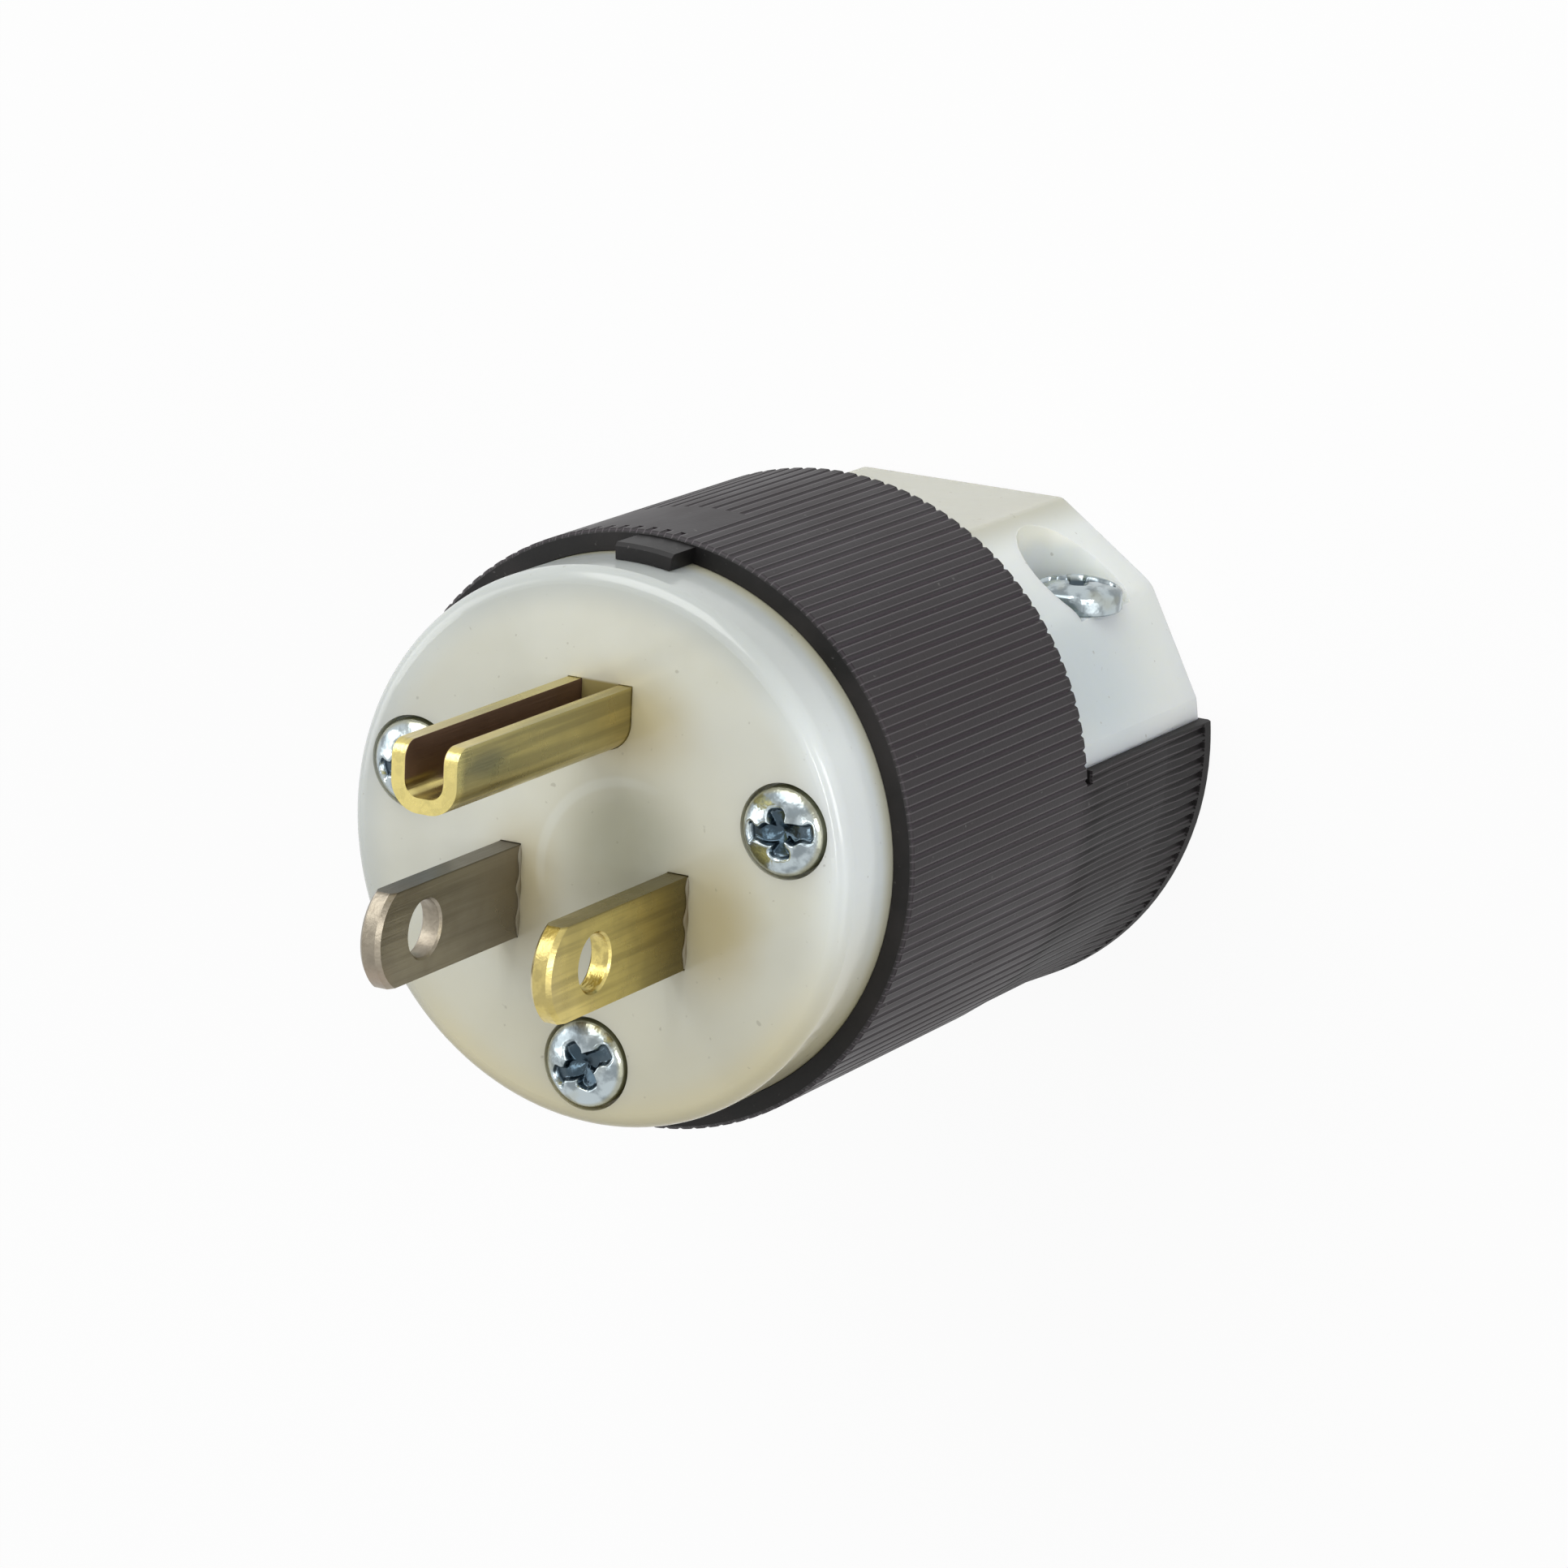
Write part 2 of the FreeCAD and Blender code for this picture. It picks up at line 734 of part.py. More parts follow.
def blade(name, sign):
    """A flat stamped blade with an arched, bevelled tip, and a tail for its terminal screw."""
    body = new_body(name)
    half = s.blade_width / 2
    tail = pocket_bottom + s.tail_clear
    shoulder = face_level + s.blade_length - s.blade_tip_rise
    side = new_sketch(body, name + "_side", "YZ_Plane")
    outline(side, [(-half, tail), (half, tail), (half, shoulder), (-half, shoulder)],
            arcs={2: s.blade_tip_rise})
    circle(side, 0, face_level + s.blade_hole_height, s.blade_hole_radius)
    circle(side, 0, terminal_level, s.terminal_radius + s.slot_gap)
    pad(body, name + "_strip", side, s.blade_thickness, symmetric=True)

    def tip_edge(edge):
        return isinstance(edge.Curve, Part.Circle) and edge.Curve.Radius > s.blade_hole_radius.number + 0.1

    def hole_edge(edge):
        return is_round(edge, s.blade_hole_radius)

    dress(body, "Chamfer", name + "_tip_bevel", s.blade_bevel, tip_edge)
    dress(body, "Chamfer", name + "_hole_bevel", s.blade_hole_bevel, hole_edge)
    return place(body, x=sign * blade_x, y=-s.blade_line)


def ground_pin():
    """A sheet folded to a channel, open away from the blades, with a flat tail."""
    body = new_body("ground_pin")
    tip = face_level + s.ground_length
    section = ground_section(new_sketch(body, "ground_fold", lift=pocket_top), Size(0))
    pad(body, "ground_channel", section, tip - pocket_top)

    def nose_edge(edge):
        point = edge.Vertexes[0].Point
        return along(edge, (1, 0, 0)) and near(point.z, tip) and near(point.y, ground_y + s.ground_top)

    dress(body, "Fillet", "nose_rounding", s.ground_nose, nose_edge)
    half = s.ground_width / 2 - s.ground_corner + s.ground_sheet
    tail = new_sketch(body, "ground_tail_side", "XZ_Plane", lift=-ground_bottom - s.ground_sheet)
    rectangle(tail, (-half, pocket_bottom + s.tail_clear), (half, pocket_top + s.ground_sheet))
    circle(tail, 0, terminal_level, s.terminal_radius + s.slot_gap)
    pad(body, "ground_tail", tail, s.ground_sheet)
    return body


# Terminal block

def terminal_block():
    """The round block behind the face, with a pocket, a wire hole and a screw way for each terminal."""
    height = insert_rear - block_rear
    whole = cylinder("block_whole", block_radius, height, z=block_rear)
    half = s.pocket_half_width
    slot_half_x = s.blade_thickness / 2 + s.slot_gap
    slot_half_y = s.blade_width / 2 + s.slot_gap
    wire_at = blade_x - s.blade_thickness / 2 - s.wire_gap / 2
    cutters = []
    for side, sign in SIDES.items():
        near_x, far_x = sign * s.pocket_inner, sign * s.pocket_outer
        low_x, high_x = (near_x, far_x) if sign > 0 else (far_x, near_x)
        cutters.append(box(f"pocket_{side}", (low_x, -s.blade_line - half, pocket_bottom),
                           (high_x, half - s.blade_line, pocket_top)))
        cutters.append(box(f"blade_slot_{side}",
                           (sign * blade_x - slot_half_x, -s.blade_line - slot_half_y, pocket_top),
                           (sign * blade_x + slot_half_x, slot_half_y - s.blade_line, insert_rear)))
        cutters.append(cylinder(f"screw_way_{side}", s.access_radius, s.shell_radius,
                                x=sign * blade_x, y=-s.blade_line, z=terminal_level,
                                axis=(0, 1, 0), angle=sign * 90))
        cutters.append(cylinder(f"wire_hole_{side}", s.wire_hole_radius, s.pocket_floor,
                                x=sign * wire_at, y=-s.blade_line, z=block_rear))
    ground_low = ground_bottom - s.wire_gap - s.plate_thickness - 2 * s.screw_end
    ground_high = ground_bottom + s.ground_sheet + s.terminal_head_height + s.screw_end
    cutters.append(box("pocket_ground", (-half, ground_low, pocket_bottom), (half, ground_high, pocket_top)))
    slot_half = s.ground_width / 2 + s.slot_gap
    cutters.append(box("ground_slot", (-slot_half, ground_bottom - s.slot_gap, pocket_top),
                       (slot_half, ground_y + s.ground_top + s.slot_gap, insert_rear)))
    cutters.append(cylinder("screw_way_ground", s.access_radius, s.shell_radius,
                            y=ground_bottom + s.ground_sheet, z=terminal_level, axis=(1, 0, 0), angle=-90))
    cutters.append(cylinder("wire_hole_ground", s.wire_hole_radius, s.pocket_floor,
                            y=ground_bottom - s.wire_gap / 2, z=block_rear))
    for name, (x, y) in SCREW_PLACES.items():
        cutters.append(cylinder(f"block_hole_{name}", hole_radius, height, x=x, y=y, z=block_rear))
    return cut("terminal_block", whole, *cutters)


# Screws, nuts and wire plates

def turned_screw(name, head_radius, head_height, radius, length):
    """A screw along +Z with its head's seat at zero, a round shoulder and a low crown."""
    body = new_body(name)
    shoulder_top = head_height - s.crown_height
    chord_rise = (s.shoulder_width + s.shoulder_height) / 2 * (1 - cosine(Size(45)))
    profile = outline(new_sketch(body, name + "_profile", "XZ_Plane"), [
        (0, -length),
        (radius, -length),
        (radius, 0),
        (head_radius, 0),
        (head_radius, shoulder_top - s.shoulder_height),
        (head_radius - s.shoulder_width, shoulder_top),
        (0, head_height),
    ], arcs={4: chord_rise, 5: s.crown_height / 4})
    revolve(body, name + "_turned", profile)
    return body


def drive_slot(body, name, top, depth, reach):
    half = s.slot_width / 2
    section = rectangle(new_sketch(body, name + "_slot", lift=top), (-reach, -half), (reach, half))
    pocket(body, name + "_slot_cut", section, depth)


def cross_recess(body, name, top):
    """The cross of a combination head: two arms at right angles, deeper than the slot."""
    reach = s.recess_span / 2
    half = s.recess_arm / 2
    section = outline(new_sketch(body, name + "_cross", lift=top), [
        (half, half), (half, reach), (-half, reach), (-half, half),
        (-reach, half), (-reach, -half), (-half, -half), (-half, -reach),
        (half, -reach), (half, -half), (reach, -half), (reach, half),
    ])
    pocket(body, name + "_cross_cut", section, s.recess_depth)


def face_screw(name, x, y, turn):
    length = screw_seat - drum_rear - s.nut_gap
    body = turned_screw(name, s.head_radius, s.head_height, s.screw_radius, length)
    cross_recess(body, name, s.head_height)
    drive_slot(body, name, s.head_height, s.slot_depth, s.head_radius)
    return place(body, x=x, y=y, z=screw_seat, axis=(0, 0, 1), angle=turn)


def clamp_screw(name, sign):
    body = turned_screw(name, s.clamp_head_radius, s.clamp_head_height, s.screw_radius, s.clamp_shank)
    cross_recess(body, name, s.clamp_head_height)
    drive_slot(body, name, s.clamp_head_height, s.slot_depth, s.clamp_head_radius)
    return place(body, x=sign * clamp_screw_x, y=clamp_seat, z=s.clamp_screw_z, axis=(1, 0, 0), angle=-90)


def terminal_screw(name, grip, **where):
    """A terminal screw whose grip is the metal between its seat and the far side of its plate."""
    length = grip + s.screw_end
    body = turned_screw(name, s.terminal_head_radius, s.terminal_head_height, s.terminal_radius, length)
    drive_slot(body, name, s.terminal_head_height, s.terminal_slot_depth, s.terminal_head_radius)
    return place(body, **where)


def square_plate(name, side, thickness, hole, **where):
    """A square plate or nut along +Z from zero, with its screw hole."""
    body = new_body(name)
    section = rectangle(new_sketch(body, name + "_section"), (-side / 2, -side / 2), (side / 2, side / 2))
    circle(section, 0, 0, hole)
    pad(body, name + "_plate", section, thickness)
    return place(body, **where)


def fittings():
    """Every screw, nut and plate, by its node name."""
    made = {}
    nut_hole = s.screw_radius + s.thread_gap
    plate_hole = s.terminal_radius + s.thread_gap
    for name, (x, y) in SCREW_PLACES.items():
        made[f"face_screw_{name}"] = face_screw(f"face_screw_{name}", x, y, SCREW_TURNS[name])
        made[f"face_nut_{name}"] = square_plate(f"face_nut_{name}", s.nut_side, s.nut_thickness, nut_hole,
                                                x=x, y=y, z=nut_top - s.nut_thickness)
    for side, sign in SIDES.items():
        made[f"clamp_screw_{side}"] = clamp_screw(f"clamp_screw_{side}", sign)
        made[f"clamp_nut_{side}"] = square_plate(f"clamp_nut_{side}", s.nut_side, s.nut_thickness, nut_hole,
                                                 x=sign * clamp_screw_x, y=clamp_nut_top,
                                                 z=s.clamp_screw_z, axis=(1, 0, 0), angle=90)
    outer_face = blade_x + s.blade_thickness / 2
    blade_grip = s.blade_thickness + s.wire_gap + s.plate_thickness
    for pole, sign in (("hot", 1), ("neutral", -1)):
        turn = {"y": -s.blade_line, "z": terminal_level, "axis": (0, 1, 0), "angle": sign * 90}
        made[f"terminal_screw_{pole}"] = terminal_screw(f"terminal_screw_{pole}", blade_grip,
                                                        x=sign * outer_face, **turn)
        made[f"wire_plate_{pole}"] = square_plate(f"wire_plate_{pole}", s.plate_side, s.plate_thickness,
                                                  plate_hole, x=sign * (outer_face - blade_grip), **turn)
    turn = {"z": terminal_level, "axis": (1, 0, 0), "angle": -90}
    ground_grip = s.ground_sheet + s.wire_gap + s.plate_thickness
    ground_seat = ground_bottom + s.ground_sheet
    made["terminal_screw_ground"] = terminal_screw("terminal_screw_ground", ground_grip, y=ground_seat, **turn)
    made["wire_plate_ground"] = square_plate("wire_plate_ground", s.plate_side, s.plate_thickness, plate_hole,
                                             y=ground_seat - ground_grip, **turn)
    return made


way = cord_way()
nodes = {
    "outer_shell": outer_shell(shell_form(), way),
    "cord_clamp": cord_clamp(way),
    "face_insert": face_insert(),
    "terminal_block": terminal_block(),
    "blade_hot": blade("blade_hot", 1),
    "blade_neutral": blade("blade_neutral", -1),
    "ground_pin": ground_pin(),
}
nodes.update(fittings())
doc.recompute()

for thing in doc.Objects:
    if "Invalid" in thing.State or "Error" in thing.State:
        raise RuntimeError(f"{thing.Name} is {thing.State}")

os.makedirs("parts", exist_ok=True)
for name, thing in nodes.items():
    thing.Label = name
    shape = thing.Shape
    if shape.isNull() or not shape.isValid() or len(shape.Solids) != 1:
        raise RuntimeError(f"{name} is not one valid solid")
    shape.exportStep(f"parts/{name}.step")
    print(f"{name}: {shape.Volume:.1f} mm3, {len(shape.Faces)} faces")
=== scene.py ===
"""Looks of a wireable straight-blade mains plug: finishes, fine trim, light and camera.

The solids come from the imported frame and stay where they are. Lengths here are in millimetres
unless a name says otherwise, and are turned to metres when a mesh or an object is made.
"""

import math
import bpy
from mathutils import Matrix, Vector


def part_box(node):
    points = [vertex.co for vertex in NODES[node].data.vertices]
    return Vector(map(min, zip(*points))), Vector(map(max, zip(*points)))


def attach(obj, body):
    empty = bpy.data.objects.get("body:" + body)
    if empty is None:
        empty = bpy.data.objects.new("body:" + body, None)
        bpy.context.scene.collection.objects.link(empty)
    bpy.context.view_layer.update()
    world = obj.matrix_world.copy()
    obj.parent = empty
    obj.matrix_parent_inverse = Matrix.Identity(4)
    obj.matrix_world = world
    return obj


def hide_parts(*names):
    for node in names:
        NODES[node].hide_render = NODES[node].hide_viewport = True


bl_info = {
    "name": "Mains plug looks",
    "version": (1, 0, 0),
    "blender": (4, 5, 0),
    "location": "3D View > Sidebar > Plug",
    "description": "Finishes, fine trim, light and camera for a wireable straight-blade plug",
    "category": "Object",
}

import bpy
import numpy as np
from bpy.props import FloatProperty, FloatVectorProperty, IntProperty, PointerProperty
from mathutils import Matrix, Vector

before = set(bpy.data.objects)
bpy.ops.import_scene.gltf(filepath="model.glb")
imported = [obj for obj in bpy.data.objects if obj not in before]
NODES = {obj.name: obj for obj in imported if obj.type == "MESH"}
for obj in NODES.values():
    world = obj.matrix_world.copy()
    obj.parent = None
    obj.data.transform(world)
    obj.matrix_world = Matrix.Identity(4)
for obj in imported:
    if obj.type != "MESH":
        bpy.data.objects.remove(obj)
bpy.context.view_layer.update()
MM = 0.001
FACE_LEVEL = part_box("face_insert")[1].z / MM
WHITE_LEVEL = 1.0

# The turned screws, in mm, and the recess that both sorts share
FACE_SCREW = {"height": 2.4, "shank": 1.7, "length": 29.7}
CLAMP_SCREW = {"height": 2.1, "shank": 1.7, "length": 16.9}
DRIVE = {"arm": 0.8, "span": 3.7, "depth": 1.2, "slot": 0.8, "slot_depth": 0.5, "ease": 0.3}


def linear(code):
    """Linear colour, with alpha 1, of an sRGB hex value."""
    parts = [int(code[start:start + 2], 16) / 255 for start in (1, 3, 5)]
    return [part / 12.92 if part <= 0.04045 else ((part + 0.055) / 1.055) ** 2.4 for part in parts] + [1.0]


# Sizes and colours


def colour(name, description, code):
    """A colour that the sidebar shows as a patch. code is its sRGB hex value."""
    return FloatVectorProperty(name=name, description=description, subtype="COLOR", size=4,
                               min=0, max=1, default=linear(code))


def length(name, description, size):
    """A length that the sidebar shows in the scene's own unit. size is in millimetres."""
    return FloatProperty(name=name, description=description, unit="LENGTH", precision=6, min=0,
                         default=size * MM)


class PlugSizes(bpy.types.PropertyGroup):
    rib_count: IntProperty(name="Ribs", description="Ribs round the shell", default=120, min=12)
    rib_round: length("Rib rounding", "How far a rib's sides drop below its crest", 0.035)
    texture_grain: length("Texture grain", "Grain of the mould's texture", 0.35)
    roll_pitch: length("Rolling lines", "Spacing of the lines in rolled sheet", 0.22)
    nylon_depth: length("Nylon depth", "How deep light goes into natural nylon", 3.0)
    head_radius: length("Face screw head", "Radius of a face screw's head", 2.96)
    clamp_head_radius: length("Clamp screw head", "Radius of a clamp screw's head", 3.2)
    lip_height: length("Slot lip", "Height of the nylon lips that hold the blades", 0.4)


class PlugColours(bpy.types.PropertyGroup):
    shell_crest: colour("Shell crest", "Black nylon on the crests of the ribs", "#1a1418")
    # Painted light: the grooves get a paler colour than the crests to offset the shade that falls in them
    shell_groove_painted_light: colour("Shell groove", "Black nylon down in the grooves", "#4c454b")
    # Painted shade: a darker black for the front ring, the tongue and the inside, where little light falls
    shell_painted_shade: colour("Shell front", "Black nylon of the front ring, the tongue and inside", "#0b0a0a")
    # Painted light: a paler, cooler tone for the face's rim
    nylon_rim_painted_light: colour("Nylon rim", "Natural nylon where it is thick and cool", "#e2e8e7")
    nylon_face: colour("Nylon face", "Natural nylon of the face", "#cfd0c4")
    # Painted shade: the grey of the hollow behind the face, painted onto the face
    nylon_middle_painted_shade: colour("Nylon middle", "Natural nylon over the hollow between the terminals", "#bfbba2")
    nylon_hollow_painted_shade: colour("Nylon hollow", "Natural nylon where the hollow's dark shows through", "#a9aa98")
    # Painted reflection: warm light thrown onto the nylon by the brass next to it
    nylon_brass_reflection: colour("Nylon warm", "Natural nylon next to brass", "#b7a97b")
    # Painted shade: darker and warmer towards the lower edge of the face
    nylon_low_painted_shade: colour("Nylon low", "Natural nylon towards the lower edge of the face", "#cac5a9")
    clamp_nylon: colour("Clamp nylon", "Natural nylon of the clamp", "#e6ebe7")
    # Partly yellowish dirt, partly painted shade that darkens the clamp's top
    clamp_top_dirt_and_shade: colour("Clamp top", "Natural nylon on top of the clamp", "#b1af9b")
    # Painted shade: a bluish tone below the screws near the drum
    clamp_bluish_shade: colour("Clamp side", "Natural nylon over the dark of the shell", "#c6d1d5")
    brass: colour("Brass", "Bare yellow brass", "#d9c77c")
    brass_dull: colour("Dull brass", "Brass that has darkened in the air", "#887c4e")
    oxide: colour("Brass oxide", "Brown oxide inside the folded pin", "#7a6152")
    nickel: colour("Nickel", "Nickel plate", "#a29a8b")
    zinc: colour("Zinc", "Clear passivated zinc plate", "#b6c1c5")
    zinc_dull: colour("Dull zinc", "Zinc plate where it has clouded", "#4e595f")
    paint: colour("Ground paint", "Green paint of the ground terminal's screw", "#2f7d45")


class StageSizes(bpy.types.PropertyGroup):
    lens: FloatProperty(name="Lens", description="Focal length on a 36 mm sensor", unit="CAMERA",
                        default=147.51, min=1)
    world_level: FloatProperty(name="Room light", description="Strength of the even light of the room",
                               subtype="FACTOR", min=0, max=1, default=0.30)
    top_lamp: FloatProperty(name="Top lamp", description="Power of the broad lamp above the pin",
                            unit="POWER", default=2.88)
    left_lamp: FloatProperty(name="Left lamp", description="Power of the lamp on the left", unit="POWER",
                             default=1.15)
    right_lamp: FloatProperty(name="Right lamp", description="Power of the lamp on the right", unit="POWER",
                              default=0.5)
    side_lamp: FloatProperty(name="Side lamp", description="Power of the small lamp beside the pin",
                             unit="POWER", default=0.85)
    front_strip: FloatProperty(name="Front strip", description="Power of the strip that edges the face",
                               unit="POWER", default=0.22)


# Nodes and meshes


def add_node(tree, kind, inputs=None, **settings):
    """A node with its settings, and with its inputs given as numbers, colours or sockets."""
    node = tree.nodes.new(kind)
    for name, value in settings.items():
        setattr(node, name, value)
    for key, value in (inputs or {}).items():
        if isinstance(value, bpy.types.NodeSocket):
            tree.links.new(value, node.inputs[key])
        else:
            node.inputs[key].default_value = value
    return node


def new_material(name):
    """An empty material and its node tree."""
    material = bpy.data.materials.new(name)
    material.use_nodes = True
    material.node_tree.nodes.clear()
    return material, material.node_tree


def place_in_mm(tree):
    """Object coordinates in millimetres, which are the row frame's own, and their three parts."""
    spot = add_node(tree, "ShaderNodeTexCoord").outputs["Object"]
    spot = add_node(tree, "ShaderNodeVectorMath", {0: spot, "Scale": 1 / MM}, operation="SCALE").outputs[0]
    return spot, add_node(tree, "ShaderNodeSeparateXYZ", {0: spot}).outputs


def across_axis(tree, spot):
    """The part of a place across the plug's axis, and how far it is from the axis."""
    flat = add_node(tree, "ShaderNodeVectorMath", {0: spot, 1: (1, 1, 0)}, operation="MULTIPLY").outputs[0]
    return flat, add_node(tree, "ShaderNodeVectorMath", {0: flat}, operation="LENGTH").outputs["Value"]


def clouds(tree, spot, size, detail=3.0, stretch=(1, 1, 1)):
    """Noise whose blotches are about size millimetres across, longer along an axis stretched under 1."""
    scale = [share / size for share in stretch]
    spread = add_node(tree, "ShaderNodeMapping", {"Vector": spot, "Scale": scale}).outputs[0]
    return add_node(tree, "ShaderNodeTexNoise",
                    {"Vector": spread, "Scale": 1.0, "Detail": detail}).outputs[0]


def tint(tree, tone, over, value, low, high, most=1.0):
    """The tone, changed towards the colour over as the value goes from low to high, by most at the end."""
    share = add_node(tree, "ShaderNodeMapRange", {0: value, 1: low, 2: high, 3: 0.0, 4: most},
                     interpolation_type="SMOOTHSTEP").outputs[0]
    return add_node(tree, "ShaderNodeMix", {0: share, 6: tone, 7: over}, data_type="RGBA").outputs[2]


def tint_near(tree, tone, over, most, spot, centre, reach, fade, squeeze=(1, 1, 0)):
    """The tone, changed towards the colour over within reach of a centre, easing off over the fade.
    squeeze weighs the three axes."""
    offset = add_node(tree, "ShaderNodeVectorMath", {0: spot, 1: centre}, operation="SUBTRACT").outputs[0]
    weighed = add_node(tree, "ShaderNodeVectorMath", {0: offset, 1: squeeze},
                       operation="MULTIPLY").outputs[0]
    far = add_node(tree, "ShaderNodeVectorMath", {0: weighed}, operation="LENGTH").outputs["Value"]
    return tint(tree, tone, over, far, reach + fade, reach, most)


def inside_band(tree, value, low, high, fade):
    """1 where the value is between low and high, easing to 0 over the fade outside."""
    over = add_node(tree, "ShaderNodeMapRange", {0: value, 1: low - fade, 2: low},
                    interpolation_type="SMOOTHSTEP").outputs[0]
    under = add_node(tree, "ShaderNodeMapRange", {0: value, 1: high + fade, 2: high},
                     interpolation_type="SMOOTHSTEP").outputs[0]
    return add_node(tree, "ShaderNodeMath", {0: over, 1: under}, operation="MULTIPLY").outputs[0]


def cloudy_roughness(tree, cloud, least, most):
    """Roughness that goes from least to most as the clouds thicken."""
    return add_node(tree, "ShaderNodeMapRange", {0: cloud, 1: 0.3, 2: 0.7, 3: least, 4: most}).outputs[0]


def finish_material(tree, height, depth, inputs):
    """The surface: a bump of this height in millimetres times depth, and a principled shader."""
    bump = add_node(tree, "ShaderNodeBump", {"Height": height, "Distance": depth * MM, "Strength": 1.0})
    shader = add_node(tree, "ShaderNodeBsdfPrincipled", {"Normal": bump.outputs[0], **inputs})
    add_node(tree, "ShaderNodeOutputMaterial", {"Surface": shader.outputs[0]})


def paint(material, *names):
    """Give the solids of these names the material in place of their own."""
    for name in names:
        slots = NODES[name].data.materials
        slots.clear()
        slots.append(material)


# Surfaces


def turned_grid(name, points, stands_for, material, sunk=None):
    """A closed piece from a grid of points in mm, rows by turns by 3. Neighbouring rows are joined
    all the way round, and the first and last rows close on their own middle points. sunk tells the
    finish where each point lies: up to 1 deep in a recess, down to -1 under the head's edge."""
    rows, turns = points.shape[:2]
    middles = points[[0, -1]].mean(axis=1)
    spots = np.vstack((points.reshape(-1, 3), middles)) * MM
    here = np.arange(rows * turns).reshape(rows, turns)
    there = np.roll(here, -1, axis=1)
    quads = np.stack((here[:-1], here[1:], there[1:], there[:-1]), axis=-1).reshape(-1, 4)
    first = np.stack((np.full(turns, rows * turns), here[0], there[0]), axis=-1)
    last = np.stack((np.full(turns, rows * turns + 1), there[-1], here[-1]), axis=-1)
    mesh = bpy.data.meshes.new(name)
    mesh.from_pydata(spots.tolist(), [], quads.tolist() + first.tolist() + last.tolist())
    mesh.shade_smooth()
    if sunk is not None:
        values = np.concatenate((sunk.ravel(), sunk[0, :1], sunk[-1, :1])).astype(np.float32)
        mesh.attributes.new("sunk", "FLOAT", "POINT").data.foreach_set("value", values)
    mesh.materials.append(material)
    thing = bpy.data.objects.new(name, mesh)
    bpy.context.scene.collection.objects.link(thing)
    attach(thing, "root")
    if stands_for:
        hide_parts(*stands_for)


def ease(share):
    """0 below 0, 1 above 1, and a smooth step between."""
    share = np.clip(share, 0, 1)
    return share * share * (3 - 2 * share)


def driven_screw(radius, turn, height, shank, length, drive):
    """A domed screw along +Z with its seat at zero, as rows by turns by 3 points, and where each
    point lies, from 1 deep in the recess to -1 under the head's edge.

    The top is a height over polar rings: shoulder + rise * (1 - (r / radius) ** 2.4) ** 0.6, less a
    recess. The recess is the deeper of a cross, whose floor falls as a cone towards the axis, and a
    slot; each has walls that ease from 0 to full depth over a narrow band, and both wander by a
    small sine as if worn by the driver. Below the head the profile goes down the shank, where a
    thread takes a sine of z / pitch - angle off the radius."""
    turns = 144
    angle = np.linspace(0, math.tau, turns, endpoint=False)
    ring = radius * np.r_[np.linspace(0.03, 0.72, 30), np.linspace(0.745, 0.985, 12), 1.0]
    r, a = np.meshgrid(ring, angle, indexing="ij")
    worn = 0.11 * np.sin(5.2 * r + 3 * a) + 0.07 * np.sin(2 * a + 11 * r / radius)
    across, up = r * np.cos(a - turn) + worn, r * np.sin(a - turn) - worn
    rise = 0.42 * height
    shoulder = height - rise
    dome = shoulder + rise * np.clip(1 - (r / radius) ** 2.4, 0, 1) ** 0.6

    end_ease, reach = 0.4, drive["span"] / 2
    wall = drive["arm"] / 2 * (1.15 - 0.35 * r / radius)
    near_arm = np.minimum(np.abs(across), np.abs(up))
    in_arm = ease((wall + drive["ease"] - near_arm) / drive["ease"])
    cone = drive["depth"] * (1 - 0.75 * np.clip(r / reach, 0, 1))
    cross = in_arm * ease((reach - r) / end_ease) * cone
    in_slot = ease((drive["slot"] / 2 + drive["ease"] - np.abs(up)) / drive["ease"])
    slot = drive["slot_depth"] * in_slot * ease((0.86 * radius - r) / end_ease)
    recess = np.maximum(cross, slot)
    top = np.stack((r * np.cos(a), r * np.sin(a), dome - recess), axis=-1)

    pitch, thread_depth, thread_top = 0.8, 0.11, -0.55 * length
    side = [(radius, 0.55 * shoulder), (radius, 0.12 * shoulder), (0.97 * radius, 0.0), (1.06 * shank, 0.0),
            (shank, -0.1), (shank, thread_top)]
    thread = np.arange(thread_top, -length + 0.5, -pitch / 6)
    levels = np.array([level for _, level in side] + thread.tolist() + [-length + 0.4, -length])
    sizes = np.array([size for size, _ in side] + [shank] * len(thread) + [shank - 0.25, shank - 0.6])
    z, a = np.meshgrid(levels, angle, indexing="ij")
    threaded = (z < -0.56 * length) & (z > -length + 0.45)
    r = sizes[:, None] - thread_depth * threaded * (1 - np.cos(math.tau * z / pitch - a))
    whole = np.concatenate((top, np.stack((r * np.cos(a), r * np.sin(a), z), axis=-1)))

    # These values drive the finish's painted shade in the recess, and its painted shade and nylon reflection
    # under the head's edge
    fully_sunk = 0.7
    under_edge = ease((ring[:, None] / radius - 0.8) / 0.2)
    lies = np.clip(recess / fully_sunk, 0, 1) - under_edge * np.ones(turns)
    return whole, np.concatenate((lies, np.full(z.shape, -1.0)))


def slot_lip(middle, height):
    """A wavy bead of nylon along one face of a blade, as rows by turns by 3 points.

    Rows run along Y. Each is an ellipse round the blade's face at face level, whose size is
    sqrt(1 - t ** 8) along the bead, and whose height swings with a sine between the crimps."""
    half_length = 3.12
    t = np.linspace(-0.999, 0.999, 90)
    angle = np.linspace(0, math.tau, 20, endpoint=False)
    t, a = np.meshgrid(t, angle, indexing="ij")
    end = np.sqrt(1 - t ** 8)
    swell = 0.5 + 0.5 * np.sin(t * 8.6 + 0.9) * np.cos(t * 1.3)
    x = middle[0] + end * (0.1 + 0.08 * swell) * np.cos(a)
    y = middle[1] + half_length * t
    z = middle[2] + end * height * (0.15 + 0.85 * swell ** 1.5) * np.sin(a)
    return np.stack((x, y, z), axis=-1)


# Finishes


